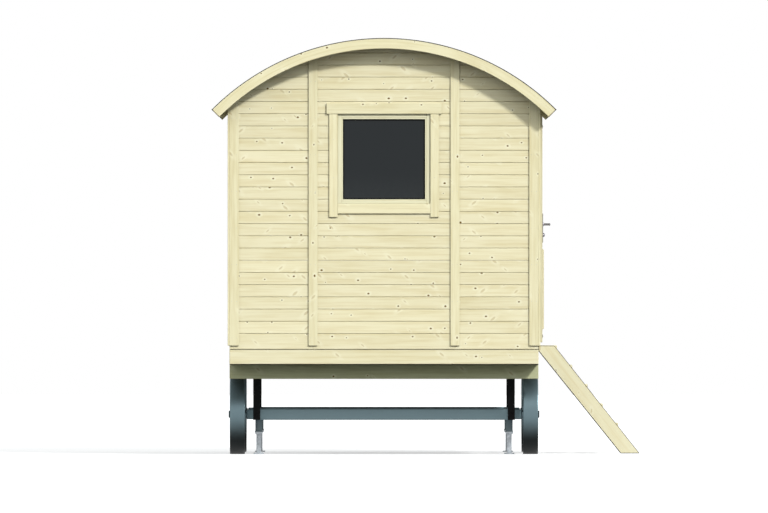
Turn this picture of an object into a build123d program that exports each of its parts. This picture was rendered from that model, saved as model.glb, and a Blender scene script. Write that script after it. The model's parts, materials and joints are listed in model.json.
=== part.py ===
"""Shepherd's hut: a boarded timber cabin with a barrel roof, on a two-axle chassis, with steps to its door.

Millimetres, +Z up from the ground. The hut is laid out about its own middle: X runs across it, towards the
door, and Y along it, away from the window end that is its front. Left is -X, right +X, front -Y and rear +Y.
"""

import os
from math import asin, sqrt, tan

from build123d import *

# Body
body_width = 2400.0
body_length = 3600.0
wall_thickness = 64.0
joint_gap = 0.5

# Chassis timbers, from the ground up
ground_clearance = 588.0
bearer_height = 115.0
bearer_width = 90.0
end_bearer_setback = 200.0
beam_height = 115.0
beam_width = 45.0
beam_setback = 8.0
joist_count = 5
floor_thickness = 20.0

# Barrel roof
ridge_height = 3236.0
roof_radius = 1889.0
eave_overhang = 135.7
felt_thickness = 4.0
deck_thickness = 19.0
fascia_depth = 80.0
fascia_thickness = 28.0
gable_overhang = 150.0
rib_depth = 80.0
rib_thickness = 45.0
rib_spacing = 900.0
rib_count = 3
bedding_gap = 0.3

# Cover boards over the corners and the wall panels' joints
cover_thickness = 14.0
cover_lift = 28.0
corner_board_width = 73.0
batten_width = 70.0
end_joint_x = 551.0
side_joint_y = 600.0

# Windows in the two end walls
window_width = 720.0
window_height = 696.0
window_ridge_drop = 938.0
sash_width = 41.0
sash_foot_width = 33.0
sash_depth = 45.0
sash_setback = 2.0
glass_thickness = 6.0
casing_width = 66.0
casing_thickness = 14.0
casing_tail = 28.0
lintel_height = 84.0
lintel_overhang = 21.0
lintel_thickness = 18.0
apron_height = 78.0

# Doorway in the right wall
doorway_width = 720.0
door_head_eave_drop = 86.0
door_post_width = 90.0
door_head_height = 60.0
door_frame_proud = 8.0
door_sill_height = 62.0

# Door leaf, which lies over its frame
door_gap = 5.0
door_thickness = 26.0
door_lap = 30.0
door_head_lap = 23.0
door_sill_lap = 13.0
door_groove_width = 5.0
door_groove_depth = 4.0
door_board_count = 7
door_panel_floor_height = 130.0
door_panel_height = 630.0
door_panel_margin = 70.0
door_panel_thickness = 12.0
door_panel_chamfer = 8.0

# Strap hinges on pintles
strap_length = 430.0
strap_width = 36.0
strap_tip_width = 18.0
strap_thickness = 5.0
strap_low_inset = 48.0
strap_high_inset = 95.0
eye_radius = 11.0
pin_radius = 6.0
pin_clearance = 0.05
pin_edge_distance = 14.0
pin_stand = 8.0
pintle_plate_width = 44.0
pintle_plate_height = 90.0
pintle_plate_thickness = 5.0
pintle_arm_width = 16.0
pintle_arm_height = 16.0
seat_gap = 0.3

# Lock and lever
lever_floor_height = 952.0
lever_inset = 60.0
lever_neck_radius = 9.0
lever_reach = 55.0
lever_grip_height = 20.0
lever_grip_thickness = 15.0
lever_grip_length = 120.0
lever_grip_chamfer = 4.0
lever_clearance = 0.05
lever_hole_clearance = 3.0
lock_plate_width = 40.0
lock_plate_height = 228.0
lock_plate_thickness = 5.0
lock_plate_corner_radius = 13.0
lock_plate_drop = 28.0
keyhole_drop = 83.0
keyhole_boss_radius = 17.0
keyhole_boss_height = 14.0
keyhole_boss_taper_deg = 12.0
keyhole_radius = 4.0
keyhole_slot_length = 14.0

# Wheels and axles
wheel_radius = 310.0
wheel_width = 117.0
rim_thickness = 12.0
hub_radius = 40.0
spoke_count = 8
spoke_hub_width = 46.0
spoke_rim_width = 34.0
spoke_thickness = 14.0
hub_inner_gap = 4.0
axle_end_distance = 700.0
axle_size = 88.0
axle_stub_size = 78.0
axle_end_gap = 13.0
spindle_radius = 20.0
spindle_clearance = 0.05
collar_radius = 31.0
collar_thickness = 10.0
collar_gap = 0.5
collar_side_count = 6

# Axle hangers and corner jacks
hanger_wheel_gap = 64.0
hanger_width = 54.0
hanger_thickness = 8.0
axle_bearer_end_gap = 23.0
jack_hanger_offset = 16.0
jack_tube_size = 54.0
jack_tube_wall = 4.0
jack_tube_drop = 238.0
jack_tube_length = 187.0
jack_collar_size = 64.0
jack_collar_height = 16.0
jack_leg_size = 38.0
jack_leg_clearance = 0.5
jack_leg_length = 335.0
foot_size = 82.0
foot_thickness = 10.0

# Steps at the door
step_width = 800.0
step_sill_lift = 24.0
step_rise = 151.5
step_count = 5
stringer_thickness = 30.0
stringer_top_length = 125.0
stringer_foot_length = 148.0
stringer_reach = 791.0
stringer_heel = 40.0
tread_thickness = 28.0
tread_nose = 20.0
tread_nose_radius = 10.0

# Levels
bearer_top_z = ground_clearance + bearer_height
sill_z = bearer_top_z + beam_height
floor_z = sill_z + floor_thickness
cover_z = sill_z + cover_lift
lever_z = floor_z + lever_floor_height
door_panel_bottom_z = floor_z + door_panel_floor_height

# Faces of the body
half_width = body_width / 2
half_length = body_length / 2
room_half_width = half_width - wall_thickness
room_half_length = half_length - wall_thickness

# Roof arcs share one axis along the hut
arch_z = ridge_height - roof_radius
deck_radius = roof_radius - felt_thickness
ceiling_radius = deck_radius - deck_thickness
seat_radius = ceiling_radius - bedding_gap
roof_half_length = half_length + gable_overhang
roof_half_width = half_width + eave_overhang
roof_half_angle = asin(roof_half_width / roof_radius)
eave_z = arch_z + sqrt(seat_radius**2 - half_width**2)
window_middle_z = ridge_height - window_ridge_drop
head_top_z = eave_z - door_head_eave_drop
doorway_top_z = head_top_z - door_head_height

# Door
frame_face_x = half_width + door_frame_proud
leaf_back_x = frame_face_x + door_gap
leaf_face_x = leaf_back_x + door_thickness
leaf_half_width = doorway_width / 2 + door_lap
leaf_bottom_z = sill_z + door_sill_height - door_sill_lap
leaf_top_z = doorway_top_z + door_head_lap
post_outer_y = doorway_width / 2 + door_post_width
hinge_x = leaf_face_x + strap_thickness - eye_radius
hinge_y = leaf_half_width + pin_edge_distance
lever_y = lever_inset - leaf_half_width
strap_levels = (leaf_bottom_z + strap_low_inset, leaf_top_z - strap_high_inset)

# Running gear
axle_y = half_length - axle_end_distance
wheel_outer_x = half_width
wheel_inner_x = wheel_outer_x - wheel_width
axle_half_length = wheel_inner_x - axle_end_gap
spindle_end_x = wheel_outer_x + collar_gap
hanger_x = wheel_inner_x - hanger_wheel_gap - hanger_width / 2
jack_x = hanger_x - jack_hanger_offset
jack_tube_top_z = ground_clearance - jack_tube_drop
jack_tube_bottom_z = jack_tube_top_z - jack_tube_length
corners = {
    "front_left": (-1, -1),
    "front_right": (1, -1),
    "rear_left": (-1, 1),
    "rear_right": (1, 1),
}

# Steps
step_top_z = sill_z + step_sill_lift
stringer_toe_x = frame_face_x + stringer_reach

# The row's origin is on the ground in the middle of the whole footprint, steps included
frame_shift = (roof_half_width - stringer_toe_x) / 2

os.makedirs("parts", exist_ok=True)


def save(piece, name):
    """Moves a finished piece to the row's origin, labels it and writes its STEP file."""
    placed = piece.part.moved(Location((frame_shift, 0, 0)))
    placed.label = name
    export_step(placed, f"parts/{name}.step")


# Chassis: cross bearers carry the floor frame, the two short ones between the wheels carry the axles
bearer_middle_z = ground_clearance + bearer_height / 2
end_bearer_y = half_length - end_bearer_setback - bearer_width / 2
axle_bearer_length = 2 * (wheel_inner_x - axle_bearer_end_gap)
with BuildPart() as chassis_bearers:
    with Locations(*[(0, y, bearer_middle_z) for y in (-end_bearer_y, 0, end_bearer_y)]):
        Box(body_width, bearer_width, bearer_height)
    with Locations(*[(0, y, bearer_middle_z) for y in (-axle_y, axle_y)]):
        Box(axle_bearer_length, bearer_width, bearer_height)
save(chassis_bearers, "chassis_bearers")

# Floor frame and floor, the outer joists lying on the axle bearers
beam_middle_z = bearer_top_z + beam_height / 2
end_beam_y = half_length - beam_setback - beam_width / 2
side_beam_x = half_width - beam_width / 2
side_beam_length = 2 * end_beam_y - beam_width
with BuildPart() as end_beams:
    with Locations(*[(0, y, beam_middle_z) for y in (-end_beam_y, end_beam_y)]):
        Box(body_width, beam_width, beam_height)
save(end_beams, "end_beams")

with BuildPart() as side_beams:
    with Locations(*[(x, 0, beam_middle_z) for x in (-side_beam_x, side_beam_x)]):
        Box(beam_width, side_beam_length, beam_height)
save(side_beams, "side_beams")

joist_spacing = 2 * axle_y / (joist_count - 1)
with BuildPart() as floor_joists:
    with Locations((0, 0, beam_middle_z)):
        with GridLocations(0, joist_spacing, 1, joist_count):
            Box(body_width - 2 * beam_width, beam_width, beam_height)
save(floor_joists, "floor_joists")

with BuildPart() as floor_boards:
    with Locations((0, 0, floor_z - floor_thickness / 2)):
        Box(2 * room_half_width, 2 * room_half_length, floor_thickness)
save(floor_boards, "floor_boards")


# Walls, their tops cut to the underside of the roof
def end_wall_panel(end, x_from, x_to, has_window=False):
    """One panel of an end wall; end is -1 at the front and 1 at the rear."""
    with BuildPart() as panel:
        with BuildSketch(Plane.XZ.offset(-end * half_length)):
            with Locations(((x_from + x_to) / 2, sill_z)):
                Rectangle(x_to - x_from, ridge_height - sill_z, align=(Align.CENTER, Align.MIN))
            with Locations((0, arch_z)):
                Circle(seat_radius, mode=Mode.INTERSECT)
            if has_window:
                with Locations((0, window_middle_z)):
                    Rectangle(window_width, window_height, mode=Mode.SUBTRACT)
        extrude(amount=end * wall_thickness)
    return panel


def side_wall_panel(side, y_from, y_to, z_from):
    """One panel of a side wall; side is -1 on the left and 1 on the right."""
    with BuildPart() as panel:
        with BuildSketch(Plane.XZ.offset(-y_from)):
            with Locations((side * (half_width - wall_thickness / 2), z_from)):
                Rectangle(wall_thickness, ridge_height - z_from, align=(Align.CENTER, Align.MIN))
            with Locations((0, arch_z)):
                Circle(seat_radius, mode=Mode.INTERSECT)
        extrude(amount=y_from - y_to)
    return panel


for end_name, end in (("front", -1), ("rear", 1)):
    save(end_wall_panel(end, -half_width, -end_joint_x), f"{end_name}_wall_left")
    save(end_wall_panel(end, -end_joint_x, end_joint_x, has_window=True), f"{end_name}_wall_middle")
    save(end_wall_panel(end, end_joint_x, half_width), f"{end_name}_wall_right")

save(side_wall_panel(-1, -room_half_length, room_half_length, sill_z), "left_wall")
save(side_wall_panel(1, -room_half_length, -post_outer_y, sill_z), "right_wall_front")
save(side_wall_panel(1, post_outer_y, room_half_length, sill_z), "right_wall_rear")
save(side_wall_panel(1, -post_outer_y, post_outer_y, head_top_z), "right_wall_over_door")


# Cover boards
def end_cover_boards(end):
    """Corner boards and panel battens on an end wall's face."""
    corner_x = half_width - corner_board_width / 2
    boards = [
        (-corner_x, corner_board_width),
        (-end_joint_x, batten_width),
        (end_joint_x, batten_width),
        (corner_x, corner_board_width),
    ]
    with BuildPart() as covers:
        with BuildSketch(Plane.XZ.offset(-end * half_length)):
            for x, width in boards:
                with Locations((x, cover_z)):
                    Rectangle(width, ridge_height - cover_z, align=(Align.CENTER, Align.MIN))
            with Locations((0, arch_z)):
                Circle(seat_radius, mode=Mode.INTERSECT)
        extrude(amount=-end * cover_thickness)
    return covers


def side_cover_boards(side):
    """Corner boards, which lap the end walls' corner boards, and panel battens on a side wall's face."""
    corner_width = corner_board_width + cover_thickness
    corner_y = half_length + cover_thickness - corner_width / 2
    boards = [
        (-corner_y, corner_width),
        (-side_joint_y, batten_width),
        (side_joint_y, batten_width),
        (corner_y, corner_width),
    ]
    with BuildPart() as covers:
        for y, width in boards:
            with BuildSketch(Plane.XZ.offset(width / 2 - y)):
                with Locations((side * (half_width + cover_thickness / 2), cover_z)):
                    Rectangle(cover_thickness, ridge_height - cover_z, align=(Align.CENTER, Align.MIN))
                with Locations((0, arch_z)):
                    Circle(seat_radius, mode=Mode.INTERSECT)
            extrude(amount=-width)
    return covers


save(end_cover_boards(-1), "front_cover_boards")
save(end_cover_boards(1), "rear_cover_boards")
save(side_cover_boards(-1), "left_cover_boards")
save(side_cover_boards(1), "right_cover_boards")

# Windows: a fixed sash in each end wall's opening, with a casing nailed over the joint outside
window_top_z = window_middle_z + window_height / 2
window_bottom_z = window_middle_z - window_height / 2
casing_foot_z = window_bottom_z - apron_height - casing_tail
lintel_width = window_width + 2 * (casing_width + lintel_overhang)
with BuildPart() as window_casings:
    for end in (-1, 1):
        with BuildSketch(Plane.XZ.offset(-end * half_length)):
            for side in (-1, 1):
                with Locations((side * (window_width + casing_width) / 2, casing_foot_z)):
                    Rectangle(
                        casing_width,
                        window_top_z - joint_gap - casing_foot_z,
                        align=(Align.CENTER, Align.MIN),
                    )
            with Locations((0, window_bottom_z)):
                Rectangle(
                    window_width - 2 * joint_gap,
                    apron_height,
                    align=(Align.CENTER, Align.MAX),
                )
        extrude(amount=-end * casing_thickness)
        with BuildSketch(Plane.XZ.offset(-end * half_length)):
            with Locations((0, window_top_z)):
                Rectangle(lintel_width, lintel_height, align=(Align.CENTER, Align.MIN))
        extrude(amount=-end * lintel_thickness)
save(window_casings, "window_casings")

pane_width = window_width - 2 * sash_width
pane_height = window_height - sash_width - sash_foot_width
pane_middle_z = window_middle_z + (sash_foot_width - sash_width) / 2
with BuildPart() as window_sashes:
    for end in (-1, 1):
        with BuildSketch(Plane.XZ.offset(-end * (half_length - sash_setback))):
            with Locations((0, window_middle_z)):
                Rectangle(window_width, window_height)
            with Locations((0, pane_middle_z)):
                Rectangle(pane_width, pane_height, mode=Mode.SUBTRACT)
        extrude(amount=end * sash_depth)
save(window_sashes, "window_sashes")

pane_y = half_length - sash_setback - sash_depth / 2
with BuildPart() as window_panes:
    with Locations(*[(0, y, pane_middle_z) for y in (-pane_y, pane_y)]):
        Box(pane_width, glass_thickness, pane_height)
save(window_panes, "window_panes")

# Door frame: posts under a head, lining the opening in the right wall, with a sill between the posts
frame_depth = wall_thickness + door_frame_proud
with BuildPart() as door_frame:
    with BuildSketch(Plane.YZ.offset(frame_face_x)):
        for side in (-1, 1):
            with Locations((side * (doorway_width + door_post_width) / 2, sill_z)):
                Rectangle(
                    door_post_width,
                    doorway_top_z - joint_gap - sill_z,
                    align=(Align.CENTER, Align.MIN),
                )
        with Locations((0, doorway_top_z)):
            Rectangle(2 * post_outer_y, door_head_height, align=(Align.CENTER, Align.MIN))
    extrude(amount=-frame_depth)
save(door_frame, "door_frame")

with BuildPart() as door_sill:
    with Locations((frame_face_x - frame_depth / 2, 0, sill_z + door_sill_height / 2)):
        Box(frame_depth, doorway_width, door_sill_height)
save(door_sill, "door_sill")

# Door leaf: upright boards with grooves between them, drilled for the lever
leaf_height = leaf_top_z - leaf_bottom_z
board_pitch = 2 * leaf_half_width / door_board_count
with BuildPart() as door_leaf:
    with BuildSketch(Plane.YZ.offset(leaf_back_x)):
        with Locations((0, leaf_bottom_z)):
            Rectangle(2 * leaf_half_width, leaf_height, align=(Align.CENTER, Align.MIN))
        with Locations((lever_y, lever_z)):
            Circle(lever_neck_radius + lever_hole_clearance, mode=Mode.SUBTRACT)
    extrude(amount=door_thickness)
    with BuildSketch(Plane.YZ.offset(leaf_face_x)):
        with Locations((0, leaf_bottom_z + leaf_height / 2)):
            with GridLocations(board_pitch, 0, door_board_count - 1, 1):
                Rectangle(door_groove_width, leaf_height)
    extrude(amount=-door_groove_depth, mode=Mode.SUBTRACT)
save(door_leaf, "door_leaf")

# Raised panel on the door's lower half, its face bevelled all round
door_panel_width = 2 * (leaf_half_width - door_panel_margin)
with BuildPart() as door_panel:
    with BuildSketch(Plane.YZ.offset(leaf_face_x)):
        with Locations((0, door_panel_bottom_z)):
            Rectangle(door_panel_width, door_panel_height, align=(Align.CENTER, Align.MIN))
    extrude(amount=door_panel_thickness)
    chamfer(door_panel.faces().sort_by(Axis.X)[-1].edges(), length=door_panel_chamfer)
save(door_panel, "door_panel")

# Straps: tapered bars on the leaf's face, each with an eye that turns on a pintle's pin
strap_root_y = hinge_y
strap_tip_y = hinge_y - strap_length
with BuildPart() as door_straps:
    for level in strap_levels:
        with BuildSketch(Plane.YZ.offset(leaf_face_x)):
            with BuildLine():
                Polyline(
                    (strap_root_y, level - strap_width / 2),
                    (strap_root_y, level + strap_width / 2),
                    (strap_tip_y, level + strap_tip_width / 2),
                    (strap_tip_y, level - strap_tip_width / 2),
                    close=True,
                )
            make_face()
        extrude(amount=strap_thickness)
        with BuildSketch(Plane.XY.offset(level - strap_width / 2)):
            with Locations((hinge_x, hinge_y)):
                Circle(eye_radius)
        extrude(amount=strap_width)
        with BuildSketch(Plane.XY.offset(level - strap_width / 2)):
            with Locations((hinge_x, hinge_y)):
                Circle(pin_radius + pin_clearance)
        extrude(amount=strap_width, mode=Mode.SUBTRACT)
save(door_straps, "door_straps")

# Pintles: a plate on the door post, an arm under the strap's eye and a pin up through it
pintle_plate_y = hinge_y - pintle_arm_width / 2 + pintle_plate_width / 2
with BuildPart() as hinge_pintles:
    for level in strap_levels:
        arm_top_z = level - strap_width / 2 - seat_gap
        with BuildSketch(Plane.YZ.offset(frame_face_x)):
            with Locations((pintle_plate_y, arm_top_z)):
                Rectangle(
                    pintle_plate_width,
                    pintle_plate_height,
                    align=(Align.CENTER, Align.CENTER),
                )
        extrude(amount=pintle_plate_thickness)
        with BuildSketch(Plane.XY.offset(arm_top_z)):
            with BuildLine():
                Line(
                    (frame_face_x, hinge_y - pintle_arm_width / 2),
                    (hinge_x, hinge_y - pintle_arm_width / 2),
                )
                RadiusArc(
                    (hinge_x, hinge_y - pintle_arm_width / 2),
                    (hinge_x, hinge_y + pintle_arm_width / 2),
                    -pintle_arm_width / 2,
                )
                Line(
                    (hinge_x, hinge_y + pintle_arm_width / 2),
                    (frame_face_x, hinge_y + pintle_arm_width / 2),
                )
                Line(
                    (frame_face_x, hinge_y + pintle_arm_width / 2),
                    (frame_face_x, hinge_y - pintle_arm_width / 2),
                )
            make_face()
        extrude(amount=-pintle_arm_height)
        with BuildSketch(Plane.XY.offset(arm_top_z)):
            with Locations((hinge_x, hinge_y)):
                Circle(pin_radius)
        extrude(amount=strap_width + pin_stand)
save(hinge_pintles, "hinge_pintles")

# Lock plates on both faces of the leaf, with a keyhole boss and a bearing for the lever
with BuildPart() as lock_plates:
    for face_x, outward in ((leaf_face_x, 1), (leaf_back_x, -1)):
        with BuildSketch(Plane.YZ.offset(face_x)):
            with Locations((lever_y, lever_z - lock_plate_drop)):
                RectangleRounded(lock_plate_width, lock_plate_height, lock_plate_corner_radius)
            with Locations((lever_y, lever_z)):
                Circle(lever_neck_radius + lever_clearance, mode=Mode.SUBTRACT)
        extrude(amount=outward * lock_plate_thickness)
    boss_face_x = leaf_face_x + lock_plate_thickness
    with BuildSketch(Plane.YZ.offset(boss_face_x)):
        with Locations((lever_y, lever_z - keyhole_drop)):
            Circle(keyhole_boss_radius)
    extrude(amount=keyhole_boss_height, taper=keyhole_boss_taper_deg)
    with BuildSketch(Plane.YZ.offset(boss_face_x + keyhole_boss_height)):
        with Locations((lever_y, lever_z - keyhole_drop)):
            SlotOverall(keyhole_slot_length, 2 * keyhole_radius, rotation=90)
    extrude(amount=-keyhole_boss_height / 2, mode=Mode.SUBTRACT)
save(lock_plates, "lock_plates")

# Lever: one spindle through the door with a grip on each side
spindle_out_x = leaf_face_x + lever_reach
spindle_in_x = leaf_back_x - lever_reach
with BuildPart() as door_lever:
    with BuildSketch(Plane.YZ.offset(spindle_in_x)):
        with Locations((lever_y, lever_z)):
            Circle(lever_neck_radius)
    extrude(amount=spindle_out_x - spindle_in_x)
    for grip_x in (spindle_in_x, spindle_out_x):
        with BuildSketch(Plane.XZ.offset(-lever_y + lever_neck_radius)) as grip_section:
            with Locations((grip_x, lever_z)):
                Rectangle(lever_grip_thickness, lever_grip_height)
            chamfer(grip_section.vertices(), length=lever_grip_chamfer)
        extrude(amount=-lever_grip_length)
save(door_lever, "door_lever")


# Roof: a boarded arch under felt, closed at each end by a bent fascia and carried between the ends by ribs
def arch_sector(radius, inner_radius):
    """An arch section about the roof's axis, cut off square to its curve at each eave."""
    reach = 2 * radius
    lean = reach * tan(roof_half_angle)
    with BuildSketch() as sector:
        with Locations((0, arch_z)):
            Circle(radius)
            Circle(inner_radius, mode=Mode.SUBTRACT)
        with BuildLine():
            Polyline((0, arch_z), (lean, arch_z + reach), (-lean, arch_z + reach), close=True)
        make_face(mode=Mode.INTERSECT)
    return sector.sketch


deck_half_length = roof_half_length - fascia_thickness
with BuildPart() as roof_deck:
    with BuildSketch(Plane.XZ.offset(-deck_half_length)):
        add(arch_sector(deck_radius, ceiling_radius))
    extrude(amount=2 * deck_half_length)
save(roof_deck, "roof_deck")

with BuildPart() as roof_felt:
    with BuildSketch(Plane.XZ.offset(-roof_half_length)):
        add(arch_sector(roof_radius, deck_radius))
    extrude(amount=2 * roof_half_length)
save(roof_felt, "roof_felt")

with BuildPart() as roof_fascias:
    for y in (-deck_half_length, roof_half_length):
        with BuildSketch(Plane.XZ.offset(-y)):
            add(arch_sector(deck_radius, deck_radius - fascia_depth))
        extrude(amount=fascia_thickness)
save(roof_fascias, "roof_fascias")

first_rib_y = -rib_spacing * (rib_count - 1) / 2
with BuildPart() as roof_ribs:
    for number in range(rib_count):
        with BuildSketch(Plane.XZ.offset(-first_rib_y - number * rib_spacing - rib_thickness / 2)):
            with Locations((0, arch_z)):
                Circle(seat_radius)
                Circle(seat_radius - rib_depth, mode=Mode.SUBTRACT)
                Rectangle(
                    2 * room_half_width,
                    roof_radius,
                    align=(Align.CENTER, Align.MIN),
                    mode=Mode.INTERSECT,
                )
        extrude(amount=rib_thickness)
save(roof_ribs, "roof_ribs")

# Axles: a square beam between the hangers, with a slimmer stub and a round spindle at each end
axle_middle_z = wheel_radius
axle_beam_length = 2 * hanger_x + hanger_width
with BuildPart() as axles:
    for y in (-axle_y, axle_y):
        with Locations((0, y, axle_middle_z)):
            Box(axle_beam_length, axle_size, axle_size)
            Box(2 * axle_half_length, axle_stub_size, axle_stub_size)
            Cylinder(spindle_radius, 2 * spindle_end_x, rotation=(0, 90, 0))
save(axles, "axles")

# Six-sided collars screwed on the spindles keep the wheels on
with BuildPart() as axle_collars:
    for side, end in corners.values():
        with BuildSketch(Plane.YZ.offset(side * spindle_end_x)):
            with Locations((end * axle_y, axle_middle_z)):
                RegularPolygon(collar_radius, side_count=collar_side_count, rotation=90)
        extrude(amount=side * collar_thickness)
save(axle_collars, "axle_collars")


def wheel(side, end):
    """A welded steel wheel: a flat rim, tapered spokes and a bored hub."""
    hub_inner_x = axle_half_length + hub_inner_gap
    hub_length = wheel_outer_x - hub_inner_x
    spoke_inner_x = wheel_outer_x - (wheel_width + spoke_thickness) / 2
    spoke_root = (hub_radius + spindle_radius) / 2
    spoke_end = wheel_radius - rim_thickness / 2
    spoke_outline = [
        (spoke_root, -spoke_hub_width / 2),
        (spoke_end, -spoke_rim_width / 2),
        (spoke_end, spoke_rim_width / 2),
        (spoke_root, spoke_hub_width / 2),
    ]

    def across(x):
        """The plane across the axle at x, centred on the wheel, facing out of the hut."""
        return Plane(origin=(side * x, end * axle_y, axle_middle_z), x_dir=(0, 1, 0), z_dir=(side, 0, 0))

    with BuildPart() as built:
        with BuildSketch(across(wheel_inner_x)):
            Circle(wheel_radius)
            Circle(wheel_radius - rim_thickness, mode=Mode.SUBTRACT)
        extrude(amount=wheel_width)
        with BuildSketch(across(hub_inner_x)):
            Circle(hub_radius)
        extrude(amount=hub_length)
        with BuildSketch(across(spoke_inner_x)):
            with PolarLocations(0, spoke_count):
                Polygon(*spoke_outline, align=None)
        extrude(amount=spoke_thickness)
        with BuildSketch(across(hub_inner_x)):
            Circle(spindle_radius + spindle_clearance)
        extrude(amount=hub_length, mode=Mode.SUBTRACT)
    return built


for corner_name, (side, end) in corners.items():
    save(wheel(side, end), f"{corner_name}_wheel")

# Hangers: bent flat steel under each axle bearer, its two legs clasping the axle
hanger_foot_z = axle_middle_z - axle_size / 2
hanger_inner_half = axle_size / 2
hanger_outer_half = hanger_inner_half + hanger_thickness
with BuildPart() as axle_hangers:
    for side, end in corners.values():
        with BuildSketch(Plane.YZ.offset(side * hanger_x - hanger_width / 2)):
            with Locations((end * axle_y, hanger_foot_z)):
                Rectangle(
                    2 * hanger_outer_half,
                    ground_clearance - hanger_foot_z,
                    align=(Align.CENTER, Align.MIN),
                )
                Rectangle(
                    2 * hanger_inner_half,
                    ground_clearance - hanger_thickness - hanger_foot_z,
                    align=(Align.CENTER, Align.MIN),
                    mode=Mode.SUBTRACT,
                )
        extrude(amount=hanger_width)
save(axle_hangers, "axle_hangers")

# Jacks: a square tube bolted to the inner leg of each hanger, with a leg that slides in its collar
jack_y = axle_y - hanger_outer_half - jack_tube_size / 2
with BuildPart() as jack_tubes:
    for side, end in corners.values():
        with BuildSketch(Plane.XY.offset(jack_tube_bottom_z)):
            with Locations((side * jack_x, end * jack_y)):
                Rectangle(jack_tube_size, jack_tube_size)
        extrude(amount=jack_tube_length)
        with BuildSketch(Plane.XY.offset(jack_tube_bottom_z)):
            with Locations((side * jack_x, end * jack_y)):
                Rectangle(jack_collar_size, jack_collar_size)
        extrude(amount=jack_collar_height)
        bore_size = jack_leg_size + 2 * jack_leg_clearance
        with BuildSketch(Plane.XY.offset(jack_tube_bottom_z)):
            with Locations((side * jack_x, end * jack_y)):
                Rectangle(bore_size, bore_size)
        extrude(amount=jack_collar_height, mode=Mode.SUBTRACT)
        with BuildSketch(Plane.XY.offset(jack_tube_bottom_z + jack_collar_height)):
            with Locations((side * jack_x, end * jack_y)):
                Rectangle(jack_tube_size - 2 * jack_tube_wall, jack_tube_size - 2 * jack_tube_wall)
        extrude(amount=jack_tube_length - jack_collar_height, mode=Mode.SUBTRACT)
save(jack_tubes, "jack_tubes")


def jack_leg(side, end):
    """A square leg on a foot plate that stands on the ground."""
    with BuildPart() as leg:
        with BuildSketch():
            with Locations((side * jack_x, end * jack_y)):
                Rectangle(foot_size, foot_size)
        extrude(amount=foot_thickness)
        with BuildSketch(Plane.XY.offset(foot_thickness)):
            with Locations((side * jack_x, end * jack_y)):
                Rectangle(jack_leg_size, jack_leg_size)
        extrude(amount=jack_leg_length)
    return leg


for corner_name, (side, end) in corners.items():
    save(jack_leg(side, end), f"{corner_name}_jack_leg")

# Steps: two sloping stringers against the door frame, with treads housed between them
with BuildPart() as step_stringers:
    for y in (stringer_thickness - step_width / 2, step_width / 2):
        with BuildSketch(Plane.XZ.offset(-y)):
            with BuildLine():
                Polyline(
                    (frame_face_x, step_top_z),
                    (frame_face_x + stringer_top_length, step_top_z),
                    (stringer_toe_x, 0),
                    (stringer_toe_x - stringer_foot_length, 0),
                    (frame_face_x, step_top_z - stringer_heel),
                    close=True,
                )
            make_face()
        extrude(amount=stringer_thickness)
save(step_stringers, "step_stringers")

stringer_run_share = (stringer_reach - stringer_top_length) / step_top_z
tread_length = step_width - 2 * stringer_thickness
tread_depth = stringer_top_length + tread_nose
with BuildPart() as step_treads:
    for number in range(step_count):
        tread_top_z = step_top_z - number * step_rise
        nose_x = frame_face_x + stringer_top_length + number * step_rise * stringer_run_share + tread_nose
        with BuildSketch(Plane.XZ.offset(-tread_length / 2)) as tread_section:
            with Locations((nose_x, tread_top_z)):
                Rectangle(tread_depth, tread_thickness, align=(Align.MAX, Align.MAX))
            fillet(tread_section.vertices().group_by(Axis.X)[-1], radius=tread_nose_radius)
        extrude(amount=tread_length)
save(step_treads, "step_treads")
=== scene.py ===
"""Looks of the shepherd's hut: boarded pine walls, barrel roof, windows, door, running gear and steps.

Metres, in the row's own frame: X across the hut towards the door, Y along it away from the window end, Z up.
"""

import json
import random
from math import asin, cos, hypot, pi, radians, sin, sqrt, tau

import bmesh
import bpy
from mathutils import Matrix, Vector


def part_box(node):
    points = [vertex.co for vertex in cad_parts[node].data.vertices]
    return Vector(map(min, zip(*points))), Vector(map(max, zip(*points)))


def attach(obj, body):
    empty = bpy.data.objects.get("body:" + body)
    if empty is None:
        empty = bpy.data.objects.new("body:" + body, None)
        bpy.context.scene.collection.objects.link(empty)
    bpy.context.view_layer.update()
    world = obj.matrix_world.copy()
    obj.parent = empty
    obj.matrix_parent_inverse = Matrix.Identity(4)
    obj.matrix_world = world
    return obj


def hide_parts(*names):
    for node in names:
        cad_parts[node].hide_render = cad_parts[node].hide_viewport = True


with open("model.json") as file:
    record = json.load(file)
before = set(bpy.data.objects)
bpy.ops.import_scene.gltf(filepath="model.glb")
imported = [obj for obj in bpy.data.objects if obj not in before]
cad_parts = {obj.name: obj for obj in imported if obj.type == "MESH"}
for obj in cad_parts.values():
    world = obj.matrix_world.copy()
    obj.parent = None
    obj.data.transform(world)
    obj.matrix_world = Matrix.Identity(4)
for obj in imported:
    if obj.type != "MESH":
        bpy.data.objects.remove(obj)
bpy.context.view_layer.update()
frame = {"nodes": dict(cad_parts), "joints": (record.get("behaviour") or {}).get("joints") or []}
chance = random.Random(41)

ALONG_X, ALONG_Y, ALONG_Z = 0, 1, 2
UNITS = (Vector((1, 0, 0)), Vector((0, 1, 0)), Vector((0, 0, 1)))
CORNERS = {"front_left": (-1, -1), "front_right": (1, -1), "rear_left": (-1, 1), "rear_right": (1, 1)}
SAME_POINT = 1e-6

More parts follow.
